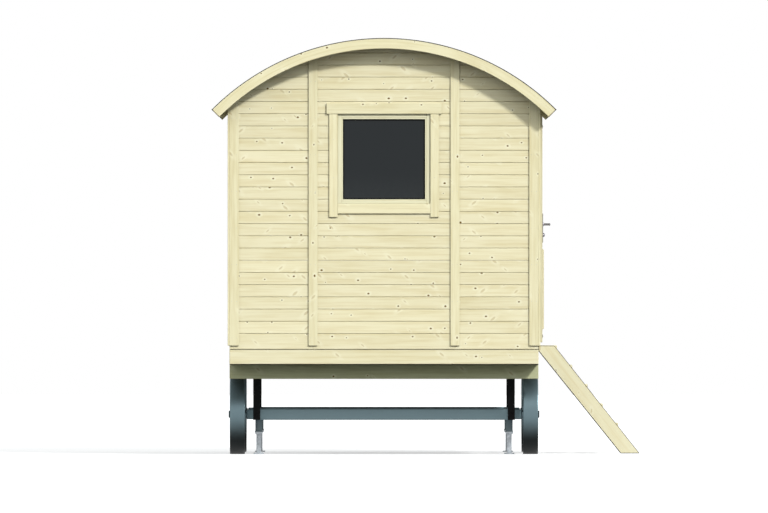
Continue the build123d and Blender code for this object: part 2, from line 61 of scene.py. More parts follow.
# Timber
CLADDING_THICKNESS = 0.020
BOARD_GAP = 0.0013
BOARD_EASE = 0.0032
BOARD_PITCH = 0.0948
BOARD_TONES = (0.97, 1.02)
GRAIN_SHIFT = 40
COURSES_BELOW_WINDOW_HEAD = 18
TRIM_EASE = 0.0022
BEAM_EASE = 0.004
END_GAP = 0.0004
LEAST_STRIP = 0.006
CORNER_BOARD_WIDTH = 0.073
BATTEN_WIDTH = 0.070
SIDE_JOINT_Y = 0.600
FLOOR_BOARD_WIDTH = 0.118
FLOOR_BOARD_EASE = 0.0015

# Pine's figure
KNOTS_PER_METRE = 8.5
KNOT_SQUEEZE = 0.75
KNOT_LEAST_RADIUS = 0.0045
KNOT_RADIUS_SPREAD = 0.0045
KNOT_WOBBLE = 0.004
GROWN_OVER_PER_METRE = 9.5
GROWN_OVER_PER_KNOT = 1.45
GROWN_OVER_LEANING = 0.7
GROWN_OVER_SQUEEZE = 0.36
GROWN_OVER_LEAST_RADIUS = 0.0050
GROWN_OVER_RADIUS_SPREAD = 0.0060
GROWTH_LINE_SPACING = 0.0085

# Window
CASING_WIDTH = 0.066
CASING_THICKNESS = 0.014
CASING_NAIL_FOOT = 0.05
CASING_NAIL_HEAD = 0.04
CASING_NAIL_STEP = 0.2
APRON_HEIGHT = 0.078
SASH_DEPTH = 0.045
BEAD_WIDTH = 0.011
BEAD_SETBACK = 0.001
BEAD_EASE = 0.0012
GLASS_THICKNESS = 0.006
GLASS_DUST_HEIGHT = 0.28
GASKET_AND_SHADE_WIDTH = 0.010
GASKET_AND_SHADE_THICKNESS = 0.004

# Door
DOOR_BOARD_COUNT = 7
DOOR_POST_WIDTH = 0.090
DOOR_HEAD_HEIGHT = 0.060
DOOR_PANEL_EASE = 0.008
STRAP_WIDTH = 0.036
STRAP_SCREW_SHARES = (0.06, 0.34, 0.62, 0.84)

# Lock and lever; the boss's profile is in shares of its height and radius
LOCK_PLATE_THICKNESS = 0.005
LOCK_PLATE_CORNER = 0.013
LOCK_SCREW_INSET = 0.012
LOCK_SCREW_SHARE = 0.8
KEYHOLE_DROP = 0.083
KEYHOLE_BOSS_RADIUS = 0.017
KEYHOLE_BOSS_SIDES = 28
KEYHOLE_BOSS_PROFILE = ((0, 0), (0, 1), (0.45, 0.96), (0.8, 0.8), (1, 0.45), (0.72, 0.3), (0.72, 0))
LEVER_NECK_RADIUS = 0.009
LEVER_NECK_TAPER = 0.92
LEVER_NECK_SIDES = 24
LEVER_ROSE_RADIUS = 0.015
LEVER_ROSE_TAPER = 0.94
LEVER_ROSE_GAP = 0.0005
LEVER_ROSE_RIM = 0.004
LEVER_ROSE_DEPTH = 0.008
LEVER_GRIP_THICKNESS = 0.015
LEVER_GRIP_EASE = 0.0055

# Roof
ROOF_ARC_ROUNDS = 12
ROOF_TANGENT_STEP = radians(2.5)
ROOF_CUT_SLACK = 0.0006
ROOF_BEND_STEPS = 71
DECK_BOARD_COUNT = 31
FELT_STRIP_COUNT = 4
FELT_LAP = 0.060
FELT_LAP_DEPTH = 0.0016
FELT_FOLD_THICKNESS = 0.005
FELT_VERGE_DROP = 0.003
FELT_VERGE_THICKNESS = 0.002
FELT_GRANULES_PER_METRE = 620.0
RIB_COUNT = 3
RIB_THICKNESS = 0.045
RIB_DEPTH = 0.080

# Chassis
BEARER_WIDTH = 0.090
AXLE_BEARER_LENGTH = 2.120
DAMP_AND_SHADE_STRIP_HEIGHT = 0.006
DAMP_AND_SHADE_STRIP_THICKNESS = 0.0015
BEAM_WIDTH = 0.045
JOIST_COUNT = 5
STEEL_EASE = 0.0025

# Axles and hangers
AXLE_SIZE = 0.088
AXLE_STUB_SIZE = 0.078
AXLE_STUB_GAP = 0.004
AXLE_EASE = 0.007
SPINDLE_RADIUS = 0.020
SPINDLE_SIDES = 32
COLLAR_SIDES = 6
COLLAR_SHOULDER = 0.8
COLLAR_CHAMFER = 0.9
HANGER_WIDTH = 0.054
HANGER_THICKNESS = 0.008
HANGER_BEND_RADIUS = 0.012
HANGER_BOLT_DROP = 0.06

# Wheels; the rim's edges are pairs of inset and drop, its rib of half width and height, the hub's steps of
# distance from its end and share of its radius
WHEEL_WIDTH = 0.117
RIM_THICKNESS = 0.012
RIM_SIDES = 96
RIM_TREAD_EDGE = ((0.007, 0.0), (0.005, 0.0), (0.0015, 0.0012), (0.0, 0.004))
RIM_INNER_EDGE = ((0.0, 0.001), (0.003, 0.0))
RIM_RIB = ((0.020, 0.0), (0.012, 0.010))
HUB_RADIUS = 0.040
HUB_SIDES = 40
HUB_BORE_GAP = 0.001
HUB_STEPS = ((0.0, 0.86), (0.003, 0.92), (0.022, 0.92), (0.026, 1.0))
SPOKE_COUNT = 8
SPOKE_HUB_WIDTH = 0.046
SPOKE_RIM_WIDTH = 0.034
SPOKE_THICKNESS = 0.014
SPOKE_HUB_SHARE = 0.9
SPOKE_RIM_GAP = 0.008
SPOKE_EASE = 0.004

# Jacks
JACK_TUBE_SIZE = 0.054
JACK_TUBE_EASE = 0.007
JACK_CAP_HEIGHT = 0.006
JACK_LIP = 0.002
JACK_COLLAR_SIZE = 0.064
JACK_COLLAR_HEIGHT = 0.016
JACK_THROAT_DEPTH = 0.010
JACK_THROAT_NECK = 0.009
JACK_THROAT_GAP = 0.0015
JACK_THROAT_LIP = 0.0055
JACK_LEG_SIZE = 0.038
JACK_LEG_EASE = 0.005
JACK_FOOT_THICKNESS = 0.010

# Steps
STRINGER_THICKNESS = 0.030
STRINGER_TOP_LENGTH = 0.125
STRINGER_FOOT_LENGTH = 0.148
STRINGER_HEEL = 0.040
STRINGER_BLANK = (2.0, 0.6)
STEP_EASE = 0.0045
TREAD_COUNT = 5
TREAD_THICKNESS = 0.028
TREAD_NOSE = 0.020
TREAD_NOSE_RADIUS = 0.005

# Fastenings; the profiles are in head radii
NAIL_RADIUS = 0.0019
NAIL_SIDES = 8
HEAD_SIDES = 10
WASHER_SIDES = 20
BOLT_SIDES = 6
NAIL_SINK = 0.2
COVER_NAIL_SHARES = (0.24, 0.76)
COVER_NAIL_COURSES = 3
SCREW_RADIUS = 0.0042
BOLT_RADIUS = 0.011
HEAD_PROFILE = ((0, 0), (0, 1), (0.35, 0.82), (0.5, 0))
WASHER_PROFILE = ((0, 0), (0, 1.45), (0.2, 1.45), (0.2, 0))
BOLT_PROFILE = ((0, 0), (0, 1), (0.85, 1), (0.95, 0.8), (0.95, 0))

# Studio and camera
FLOOR_HALF = 80.0
FLOOR_DROP = 0.001
FLOOR_SHOWN = 0.6
FLOOR_LIFT = 0.54
FLOOR_BOUNCE = 0.11
FILL_COLOUR = (0.95, 0.985, 1.0, 1)
FILL_STRENGTH = 0.75
FILL_BAND = (0.15, 0.45)
FILL_BAND_GAIN = 0.45
FILL_OVERHEAD = (0.6, 0.9)
FILL_OVERHEAD_GAIN = -0.8
SUN_DIRECTION = Vector((-0.7, 1.0, -0.87))
SUN_STRENGTH = 2.34
SUN_ANGLE = radians(6.0)
LENS_MM = 1150.0
SENSOR_MM = 36.0
PICTURE_WIDTH = 5.973
PICTURE_PLANE_Y = -1.45
CAMERA_HEIGHT = 1.539
CLIP_END = 500.0

# Places read from the frame
felt_low, felt_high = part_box("roof_felt")
deck_low, deck_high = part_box("roof_deck")
fascia_low, fascia_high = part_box("roof_fascias")
sash_low, sash_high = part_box("window_sashes")
body_low = Vector(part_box("front_wall_left")[0])
body_high = Vector(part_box("rear_wall_right")[1])
mid_x = (felt_low.x + felt_high.x) / 2
joint_at = {joint["name"]: Vector(joint["pos_m"]) for joint in frame["joints"] if "pos_m" in joint}


def roof_arc():
    """The radius of the felt's face, the half angle of the arch and the height of its axis."""
    half_width = (felt_high.x - felt_low.x) / 2
    thickness = felt_high.z - deck_high.z
    radius = felt_high.x - felt_low.x
    for _ in range(ROOF_ARC_ROUNDS):
        half_angle = asin(half_width / radius)
        arch_rise = felt_high.z - felt_low.z - thickness * cos(half_angle)
        radius = (half_width**2 + arch_rise**2) / (2 * arch_rise)
    return radius, half_angle, felt_high.z - radius


roof_radius, eave_angle, arch_z = roof_arc()
deck_radius = deck_high.z - arch_z
ceiling_radius = (deck_low.z - arch_z) / cos(eave_angle)
fascia_inner_radius = (fascia_low.z - arch_z) / cos(eave_angle)
seat_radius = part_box("front_wall_middle")[1].z - arch_z
first_course = sash_high.z - body_low.z - COURSES_BELOW_WINDOW_HEAD * BOARD_PITCH


# Nodes
def add(tree, kind, inputs=(), **settings):
    """Places a shader node, with its settings first and then its inputs, which are values or sockets."""
    node = tree.nodes.new("ShaderNode" + kind)
    for key, value in settings.items():
        setattr(node, key, value)
    for key, value in dict(inputs).items():
        if isinstance(value, bpy.types.NodeSocket):
            tree.links.new(value, node.inputs[key])
        else:
            node.inputs[key].default_value = value
    return node


def calc(tree, operation, *values, clamp=False):
    """The result of a Math node."""
    return add(tree, "Math", enumerate(values), operation=operation, use_clamp=clamp).outputs[0]


def stretched(tree, vector, factors):
    """A coordinate stretched along each axis."""
    return add(tree, "VectorMath", {0: vector, 1: factors}, operation="MULTIPLY").outputs[0]


def noise(tree, vector, scale, detail=2.0, roughness=0.5):
    """Smooth noise between 0 and 1."""
    inputs = {"Vector": vector, "Scale": scale, "Detail": detail, "Roughness": roughness}
    return add(tree, "TexNoise", inputs).outputs[0]


def rise(tree, value, low, high):
    """0 below low and 1 above high, with a soft step between them."""
    inputs = {"Value": value, "From Min": low, "From Max": high}
    return add(tree, "MapRange", inputs, interpolation_type="SMOOTHSTEP").outputs[0]


def mixed(tree, factor, first, second, blend="MIX"):
    """Two colours mixed."""
    return add(tree, "Mix", {0: factor, 6: first, 7: second}, data_type="RGBA", blend_type=blend).outputs[2]


def carried(tree, name, output="Fac"):
    """A value that a mesh carries for each of its parts."""
    return add(tree, "Attribute", attribute_name=name, attribute_type="GEOMETRY").outputs[output]


def shaded(tree, base, value):
    """A colour made darker by a value."""
    shade = add(tree, "CombineColor", {0: value, 1: value, 2: value}).outputs[0]
    return mixed(tree, 1.0, base, shade, "MULTIPLY")


def colour(red, green, blue):
    """A linear colour from its display values out of 255."""
    values = [part / 255 for part in (red, green, blue)]
    return (*[p / 12.92 if p <= 0.04045 else ((p + 0.055) / 1.055) ** 2.4 for p in values], 1.0)


def effect_group(name, inputs, outputs):
    """A shader node group; returns its tree, the sockets of its inputs and those of its outputs."""
    tree = bpy.data.node_groups.new(name, "ShaderNodeTree")
    for label, kind, value in inputs:
        tree.interface.new_socket(label, in_out="INPUT", socket_type=kind).default_value = value
    for label, kind in outputs:
        tree.interface.new_socket(label, in_out="OUTPUT", socket_type=kind)
    return tree, tree.nodes.new("NodeGroupInput").outputs, tree.nodes.new("NodeGroupOutput").inputs


COLOUR, NUMBER = "NodeSocketColor", "NodeSocketFloat"
SURFACE_OUTPUTS = [("Color", COLOUR), ("Roughness", NUMBER), ("Height", NUMBER)]


def pine_figure():
    """Grain, growth lines, knots and board tone of planed pine, on each board's own grain coordinates, with
    painted shade along the eased edges.
    """
    tree, given, result = effect_group(
        "pine figure",
        [
            ("Pale", COLOUR, colour(246, 238, 202)),
            ("Heart", COLOUR, colour(226, 212, 162)),
            ("Knot", COLOUR, colour(108, 81, 6)),
            ("Contrast", NUMBER, 1.0),
            ("Knottiness", NUMBER, 0.5),
            ("Rim", COLOUR, colour(188, 164, 92)),
            ("Edge", NUMBER, 0.1),
        ],
        SURFACE_OUTPUTS,
    )
    grain = carried(tree, "grain", "Vector")
    wobble = noise(tree, grain, 90.0)

    def knots(cells_per_metre, leaning, squeeze, least, spread, share):
        """One chance of a knot in each cell of a web: closeness to it, and to the halo round it."""
        turned_grain = add(tree, "VectorRotate", {"Vector": grain, "Angle": leaning}).outputs[0]
        web_place = {"Vector": stretched(tree, turned_grain, (squeeze, 1.0, 1.0)), "Scale": cells_per_metre}
        web = add(tree, "TexVoronoi", web_place, voronoi_dimensions="2D")
        luck = add(tree, "SeparateColor", {0: web.outputs["Color"]}).outputs
        distance = calc(tree, "DIVIDE", web.outputs["Distance"], cells_per_metre)
        distance = calc(tree, "ADD", distance, calc(tree, "MULTIPLY", wobble, KNOT_WOBBLE))
        size = calc(tree, "MULTIPLY_ADD", luck[0], spread, least)
        present = calc(tree, "LESS_THAN", luck[1], share)
        nearness = calc(tree, "DIVIDE", distance, size)
        middle = calc(tree, "SUBTRACT", 1.0, rise(tree, nearness, 0.7, 1.3))
        round_it = calc(tree, "SUBTRACT", 1.0, rise(tree, nearness, 1.0, 3.4))
        return calc(tree, "MULTIPLY", middle, present), calc(tree, "MULTIPLY", round_it, present)

    knot, halo = knots(
        KNOTS_PER_METRE, 0.0, KNOT_SQUEEZE, KNOT_LEAST_RADIUS, KNOT_RADIUS_SPREAD, given["Knottiness"]
    )
    grown_over, wide_halo = knots(
        GROWN_OVER_PER_METRE,
        GROWN_OVER_LEANING,
        GROWN_OVER_SQUEEZE,
        GROWN_OVER_LEAST_RADIUS,
        GROWN_OVER_RADIUS_SPREAD,
        calc(tree, "MULTIPLY", given["Knottiness"], GROWN_OVER_PER_KNOT),
    )
    halo = calc(tree, "MAXIMUM", halo, calc(tree, "MULTIPLY", wide_halo, 0.6))

    # Growth lines bend round the knots
    drift = noise(tree, stretched(tree, grain, (1.1, 5.0, 5.0)), 1.0)
    across = add(tree, "SeparateXYZ", {0: grain}).outputs
    place = calc(tree, "MULTIPLY_ADD", drift, 0.075, across[1])
    place = calc(tree, "MULTIPLY_ADD", across[2], 0.6, place)
    place = calc(tree, "MULTIPLY_ADD", halo, 0.014, place)
    wave = calc(tree, "SINE", calc(tree, "MULTIPLY", place, tau / GROWTH_LINE_SPACING))
    lines = calc(tree, "POWER", calc(tree, "MULTIPLY_ADD", wave, 0.5, 0.5), 3.0)
    streaks = noise(tree, stretched(tree, grain, (2.0, 46.0, 46.0)), 1.0, 3.0, 0.6)
    fibre = noise(tree, stretched(tree, grain, (14.0, 900.0, 900.0)), 1.0, 1.0)
    patches = noise(tree, stretched(tree, grain, (3.2, 11.0, 11.0)), 1.0, 2.0)

    warm = calc(tree, "MULTIPLY", rise(tree, streaks, 0.38, 0.74), 0.48)
    warm = calc(tree, "MULTIPLY_ADD", lines, 0.20, warm)
    warm = calc(tree, "MULTIPLY_ADD", fibre, 0.10, warm)
    warm = calc(tree, "MULTIPLY_ADD", rise(tree, patches, 0.62, 0.30), 0.22, warm)
    warm = calc(tree, "MULTIPLY_ADD", halo, -0.45, warm, clamp=True)
    warm = calc(tree, "MULTIPLY", warm, given["Contrast"], clamp=True)
    wood = mixed(tree, warm, given["Pale"], given["Heart"])
    wood = shaded(tree, wood, carried(tree, "tone"))
    wood = mixed(tree, calc(tree, "MULTIPLY", halo, 0.18), wood, colour(252, 247, 222))
    stain = calc(tree, "MULTIPLY", grown_over, 0.55)
    wood = mixed(tree, stain, wood, (0.64, 0.55, 0.37, 1.0), "MULTIPLY")
    wood = mixed(tree, knot, wood, given["Knot"])
    # Eased edges are mixed towards the Rim colour: painted shade in the joints between boards, and a painted
    # dark outline along the steps' edges
    painted_edge_shade = calc(tree, "MULTIPLY", carried(tree, "edge"), given["Edge"])
    tree.links.new(mixed(tree, painted_edge_shade, wood, given["Rim"]), result["Color"])

    rough = calc(tree, "MULTIPLY_ADD", fibre, 0.12, 0.52)
    rough = calc(tree, "MULTIPLY_ADD", lines, 0.06, rough)
    tree.links.new(rough, result["Roughness"])
    height = calc(tree, "MULTIPLY_ADD", lines, -0.45, calc(tree, "MULTIPLY", fibre, 0.35))
    tree.links.new(calc(tree, "MULTIPLY_ADD", knot, -0.03, height), result["Height"])
    return tree


def worn_coat():
    """Mottling, scuffs and settled dust on a coated or bare steel surface, and painted shade darkening it
    towards the ground.
    """
    tree, given, result = effect_group(
        "worn coat",
        [
            ("Coat", COLOUR, colour(90, 108, 113)),
            ("Scuff", COLOUR, colour(140, 150, 152)),
            ("Dust", COLOUR, colour(150, 142, 122)),
            ("Wear", NUMBER, 0.3),
            ("Low shade", NUMBER, 0.0),
            ("Roughness", NUMBER, 0.4),
        ],
        SURFACE_OUTPUTS,
    )
    place = add(tree, "TexCoord").outputs["Object"]
    mottle = noise(tree, place, 7.0, 4.0, 0.6)
    speck = noise(tree, place, 160.0, 2.0)
    scratch = noise(tree, stretched(tree, place, (1.0, 1.0, 0.14)), 70.0, 3.0, 0.7)
    scuffs = calc(tree, "MULTIPLY", rise(tree, scratch, 0.60, 0.74), rise(tree, mottle, 0.46, 0.66))
    scuffs = calc(tree, "MULTIPLY", scuffs, given["Wear"])
    height = add(tree, "SeparateXYZ", {0: place}).outputs[2]
    dust = calc(tree, "MULTIPLY", rise(tree, height, 0.30, 0.0), rise(tree, speck, 0.35, 0.7))
    dust = calc(tree, "MULTIPLY", dust, given["Wear"])
    coat = mixed(tree, calc(tree, "MULTIPLY", mottle, 0.18), given["Coat"], given["Scuff"])
    coat = mixed(tree, scuffs, coat, given["Scuff"])
    coat = mixed(tree, dust, coat, given["Dust"])
    # Painted shade: the coat turns almost black towards the ground, as far as the input asks
    low_shade = calc(tree, "MULTIPLY_ADD", mottle, 0.04, height)
    low_shade = calc(tree, "MULTIPLY", rise(tree, low_shade, 0.33, 0.12), given["Low shade"])
    tree.links.new(mixed(tree, low_shade, coat, colour(12, 13, 12)), result["Color"])
    rough = calc(tree, "MULTIPLY_ADD", mottle, 0.16, given["Roughness"])
    rough = calc(tree, "MULTIPLY_ADD", dust, 0.35, rough, clamp=True)
    tree.links.new(rough, result["Roughness"])
    tree.links.new(calc(tree, "MULTIPLY_ADD", scuffs, -0.5, speck), result["Height"])
    return tree


PINE_FIGURE = pine_figure()
WORN_COAT = worn_coat()


# Finishes
def blank(name, **sockets):
    """A new material and its shader, with plain values on the shader's sockets."""
    material = bpy.data.materials.new(name)
    material.use_nodes = True
    shader = material.node_tree.nodes["Principled BSDF"]
    for label, value in sockets.items():
        shader.inputs[label.replace("_", " ")].default_value = value
    return material, shader


def surfaced(tree, shader, base, roughness, height, strength, distance):
    """Links a surface's colour, roughness and relief to its shader."""
    relief = {"Strength": strength, "Distance": distance, "Height": height}
    tree.links.new(base, shader.inputs["Base Color"])
    tree.links.new(roughness, shader.inputs["Roughness"])
    tree.links.new(add(tree, "Bump", relief).outputs[0], shader.inputs["Normal"])


def pine(name, pale, heart, contrast, knottiness, **edges):
    """Planed pine, oiled a little, darker along its eased edges as painted shade; it throws back less light
    than it shows.
    """
    material, shader = blank(name, Specular_IOR_Level=0.12)
    tree = material.node_tree
    inputs = {"Pale": pale, "Heart": heart, "Contrast": contrast, "Knottiness": knottiness, **edges}
    skin = add(tree, "Group", inputs, node_tree=PINE_FIGURE).outputs
    bounced = add(tree, "LightPath").outputs["Is Diffuse Ray"]
    wood = mixed(tree, bounced, skin["Color"], colour(150, 145, 118))
    surfaced(tree, shader, wood, skin["Roughness"], skin["Height"], strength=0.5, distance=0.0007)
    return material


def steel(name, coat, scuff, wear, roughness, low_shade=0.0, **sockets):
    """Coated or bare steel."""
    material, shader = blank(name, **sockets)
    tree = material.node_tree
    inputs = {"Coat": coat, "Scuff": scuff, "Wear": wear, "Low shade": low_shade, "Roughness": roughness}
    skin = add(tree, "Group", inputs, node_tree=WORN_COAT).outputs
    surfaced(tree, shader, skin["Color"], skin["Roughness"], skin["Height"], strength=0.25, distance=0.0006)
    return material


def felt_finish():
    """Bitumen felt with mineral granules, each strip of its own tone, paler where rain has run."""
    material, shader = blank("mineral felt", Specular_IOR_Level=0.2)
    tree = material.node_tree
    place = add(tree, "TexCoord").outputs["Object"]
    granules = add(tree, "TexVoronoi", {"Vector": place, "Scale": FELT_GRANULES_PER_METRE}).outputs
    luck = add(tree, "SeparateColor", {0: granules["Color"]}).outputs[0]
    washed = noise(tree, stretched(tree, place, (0.5, 3.2, 0.5)), 4.0, 4.0, 0.6)
    washed = calc(tree, "MULTIPLY", rise(tree, washed, 0.4, 0.85), 0.4)
    grey = mixed(tree, luck, colour(20, 23, 22), colour(58, 61, 58))
    grey = mixed(tree, washed, grey, colour(66, 66, 60))
    grey = shaded(tree, grey, calc(tree, "POWER", carried(tree, "tone"), 6.0))
    lap = calc(tree, "MULTIPLY", carried(tree, "edge"), 0.6)
    grey = mixed(tree, lap, grey, colour(12, 13, 13))
    rough = calc(tree, "MULTIPLY_ADD", luck, 0.1, 0.82)
    surfaced(tree, shader, grey, rough, granules["Distance"], strength=0.7, distance=0.0012)
    return material


def galvanised_finish():
    """Zinc spangle on the jack legs and fastenings."""
    material, shader = blank("galvanised steel", Metallic=0.55)
    tree = material.node_tree
    place = add(tree, "TexCoord").outputs["Object"]
    spangle = add(tree, "TexVoronoi", {"Vector": place, "Scale": 85.0}).outputs
    luck = add(tree, "SeparateColor", {0: spangle["Color"]}).outputs[0]
    dull = rise(tree, noise(tree, place, 14.0, 3.0), 0.5, 0.8)
    zinc = mixed(tree, luck, colour(176, 183, 189), colour(206, 212, 217))
    zinc = mixed(tree, dull, zinc, colour(156, 162, 166))
    rough = calc(tree, "MULTIPLY_ADD", luck, 0.18, 0.34)
    surfaced(tree, shader, zinc, rough, spangle["Distance"], strength=0.15, distance=0.0008)
    return material


def glass_finish():
    """Glazing whose dark colour is painted shade of the dim room behind it, a little wavy and dusty towards
    the bottom of each pane.
    """
    material, shader = blank("dark window glass", Specular_IOR_Level=0.3)
    tree = material.node_tree
    place = add(tree, "TexCoord").outputs["Object"]
    level = add(tree, "SeparateXYZ", {0: place}).outputs[2]
    low = rise(tree, level, sash_low.z + GLASS_DUST_HEIGHT, sash_low.z)
    dust = calc(tree, "MULTIPLY", low, noise(tree, place, 38.0, 4.0, 0.7))
    # The near-black colour is painted shade of the room behind the glass; dust pales it towards the bottom
    dim_room_and_dust = mixed(tree, calc(tree, "MULTIPLY", dust, 0.06), colour(24, 30, 33), colour(120, 122, 118))
    rough = calc(tree, "MULTIPLY_ADD", dust, 0.25, 0.05)
    surfaced(tree, shader, dim_room_and_dust, rough, noise(tree, place, 3.0, 1.0), strength=0.05, distance=0.002)
    return material


BOARDS = pine("pine boards", colour(245, 238, 202), colour(223, 209, 160), 1.0, 0.42)
TRIM = pine("pine trim", colour(245, 238, 200), colour(220, 207, 157), 1.0, 0.16, Edge=0.0)
SASH_PINE = pine("pine sashes", colour(242, 238, 204), colour(222, 214, 172), 0.9, 0.0)
# Darker copies of pine for the door and its frame: painted shade
SHADED_DOOR_PINE = pine("pine door", colour(238, 232, 198), colour(214, 204, 162), 1.0, 0.0, Edge=0.15)
SHADED_FRAME_PINE = pine("pine door frame", colour(229, 223, 187), colour(207, 197, 155), 1.0, 0.0, Edge=0.15)
BEAMS = pine("pine beams", colour(246, 239, 203), colour(226, 213, 164), 1.0, 0.30, Edge=0.0)
END_GRAIN = pine("pine end grain", colour(140, 131, 104), colour(112, 102, 76), 1.0, 0.0)
# Greenish treated pine for the bearers, made darker as painted shade under the floor
SHADED_TREATED_PINE = pine("treated pine with painted shade", colour(206, 209, 170), colour(180, 180, 134), 1.0, 0.30)
# The steps' eased edges are painted dark, as painted shade outlining the stringers and treads
STEP_TONES = (colour(252, 246, 211), colour(236, 222, 174))
STEP_RIM = colour(84, 78, 62)
STEP_PINE = pine("pine steps", *STEP_TONES, 0.9, 0.50, Rim=STEP_RIM, Edge=1.0)
TREAD_PINE = pine("pine treads", *STEP_TONES, 0.9, 0.30, Rim=STEP_RIM, Edge=0.3)
FELT = felt_finish()
GLASS = glass_finish()
GALVANISED = galvanised_finish()
BLUE_GREY = steel("blue grey paint", colour(108, 129, 135), colour(140, 155, 159), 0.35, 0.36, Metallic=0.75)
# The wheel paint carries painted shade on the wheels' lower part, towards the ground
WHEEL_GREY = steel("wheel paint", colour(98, 117, 123), colour(126, 141, 146), 0.3, 0.34, 0.95, Metallic=0.9)
BLACK = steel("black steel", colour(12, 13, 14), colour(40, 40, 40), 0.25, 0.5, Specular_IOR_Level=0.12)
JACK_GREY = steel("jack tube paint", colour(84, 98, 103), colour(118, 130, 134), 0.3, 0.36, Metallic=0.75)
GASKET_AND_SHADE = steel("glazing gasket and painted shade", colour(10, 12, 12), colour(24, 26, 26), 0.1, 0.6, Specular_IOR_Level=0.05)
LOCK_STEEL = steel("lock steel", colour(118, 115, 119), colour(158, 156, 160), 0.2, 0.26, Metallic=0.9)


# Shapes
def block(size, place):
    """A block of a size at a place, as the start of a part."""
    part = bmesh.new()
    bmesh.ops.create_cube(part, size=1.0, matrix=place @ Matrix.Diagonal((*size, 1.0)))
    return part


def block_in(low, high):
    """A block that fills a box, as the start of a part."""
    low, high = Vector(low), Vector(high)
    return block(high - low, Matrix.Translation((low + high) / 2))


def join(bm, part):
    """Adds a finished part, with its grain, to a piece."""
    mesh = bpy.data.meshes.new("part")
    part.to_mesh(mesh)
    part.free()
    bm.from_mesh(mesh)
    bpy.data.meshes.remove(mesh)


def ease(part, width, segments=1, where=None, edge_shade_mark=1.0):
    """Takes the sharpness off a part's edges, or those that where picks by their middle, and marks them for
    painted edge shade.
    """
    edges = [e for e in part.edges if where is None or where((e.verts[0].co + e.verts[1].co) / 2)]
    mark = part.loops.layers.float.get("edge") or part.loops.layers.float.new("edge")
    eased = bmesh.ops.bevel(
        part,
        geom=edges,
        offset=width,
        offset_type="OFFSET",
        segments=segments,
        profile=0.5,
        affect="EDGES",
        material=-1,
    )
    for face in eased["faces"]:
        for corner in face.loops:
            corner[mark] = edge_shade_mark


def cut(part, planes):
    """Cuts away what lies outside each plane, a point and an outward normal, and closes the cut."""
    for point, normal in planes:
        if not part.faces:
            return
        found = bmesh.ops.bisect_plane(
            part,
            geom=part.verts[:] + part.edges[:] + part.faces[:],
            dist=SAME_POINT,
            plane_co=point,
            plane_no=normal,
            clear_outer=True,
        )
        rim = [item for item in found["geom_cut"] if isinstance(item, bmesh.types.BMEdge)]
        if rim:
            bmesh.ops.holes_fill(part, edges=rim, sides=0)


def figure(part, place):
    """Gives a part its grain coordinates, along the board, across it and into it, and its own tone."""
    grain = part.verts.layers.float_vector.new("grain")
    tone = part.verts.layers.float.new("tone")
    to_board = place.inverted()
    shift = Vector([chance.uniform(-GRAIN_SHIFT, GRAIN_SHIFT) for _ in range(3)])
    mirror = Vector((1, chance.choice((-1, 1)), 1))
    shade = chance.uniform(*BOARD_TONES)
    for vert in part.verts:
        vert[grain] = (to_board @ vert.co) * mirror + shift
        vert[tone] = shade


def laid(low, high, along):
    """The size and place of a board that fills a box with its grain along one axis."""
    low, high = Vector(low), Vector(high)
    extent = high - low
    across, deep = sorted((a for a in range(3) if a != along), key=lambda a: -extent[a])
    turn = Matrix((UNITS[along], UNITS[across], UNITS[along].cross(UNITS[across]))).transposed()
    return (extent[along], extent[across], extent[deep]), Matrix.Translation((low + high) / 2) @ turn.to_4x4()


def plank(bm, size, place, width=TRIM_EASE, trims=(), cuts=(), segments=1, where=None):
    """A board: a block cut to shape by trims, with its edges eased, then cut again where a joint hides it."""
    part = block(size, place)
    cut(part, trims)
    ease(part, width, segments, where)
    cut(part, cuts)
    if part.faces:
        figure(part, place)
        join(bm, part)
    else:
        part.free()


def plank_in(bm, low, high, along, **shaping):
    """A board that fills a box."""
    plank(bm, *laid(low, high, along), **shaping)


def bend(part, radius):
    """Bends a straight part round an axis under its middle, so that its length becomes an arc."""
    for vert in part.verts:
        angle = vert.co.x / radius
        reach = radius + vert.co.y
        vert.co.x = reach * sin(angle)
        vert.co.y = reach * cos(angle) - radius


def bent_plank(bm, inner, outer, y_from, y_to, width, cuts=()):
    """A board bent over the roof's arc, between two radii."""
    radius = (inner + outer) / 2
    size = (2 * eave_angle * radius, outer - inner, y_to - y_from)
    part = block(size, Matrix.Identity(4))
    ease(part, width)
    long_edges = [e for e in part.edges if e.calc_length() > size[0] / 2]
    bmesh.ops.subdivide_edges(part, edges=long_edges, cuts=ROOF_BEND_STEPS, use_grid_fill=True)
    figure(part, Matrix.Identity(4))
    bend(part, radius)
    turn = Matrix((UNITS[0], UNITS[2], -UNITS[1])).transposed().to_4x4()
    top = Vector((mid_x, (y_from + y_to) / 2, arch_z + radius))
    bmesh.ops.transform(part, matrix=Matrix.Translation(top) @ turn, verts=part.verts)
    cut(part, cuts)
    join(bm, part)


def under_roof(x_from, x_to, z_top):
    """Planes that cut a board's top to the underside of the roof, none where it stays below."""
    radius = seat_radius - ROOF_CUT_SLACK
    ends = (x_from - mid_x, x_to - mid_x)
    if max(hypot(x, z_top - arch_z) for x in ends) <= radius:
        return []
    first, last = (asin(max(-1.0, min(1.0, x / radius))) for x in ends)
    count = 2 + int((last - first) / ROOF_TANGENT_STEP)
    planes = []
    for number in range(count + 1):
        angle = first + (last - first) * number / count
        normal = Vector((sin(angle), 0, cos(angle)))
        planes.append((Vector((mid_x, 0, arch_z)) + normal * radius, normal))
    return planes


def bar(bm, low, high, width=STEEL_EASE, segments=2, where=None):
    """A steel bar or plate that fills a box, with eased edges."""
    part = block_in(low, high)
    ease(part, width, segments, where)
    join(bm, part)


def scaled(profile, length, radius):
    """A profile given in shares of its length and radius, at its real size."""
    return [(along * length, out * radius) for along, out in profile]


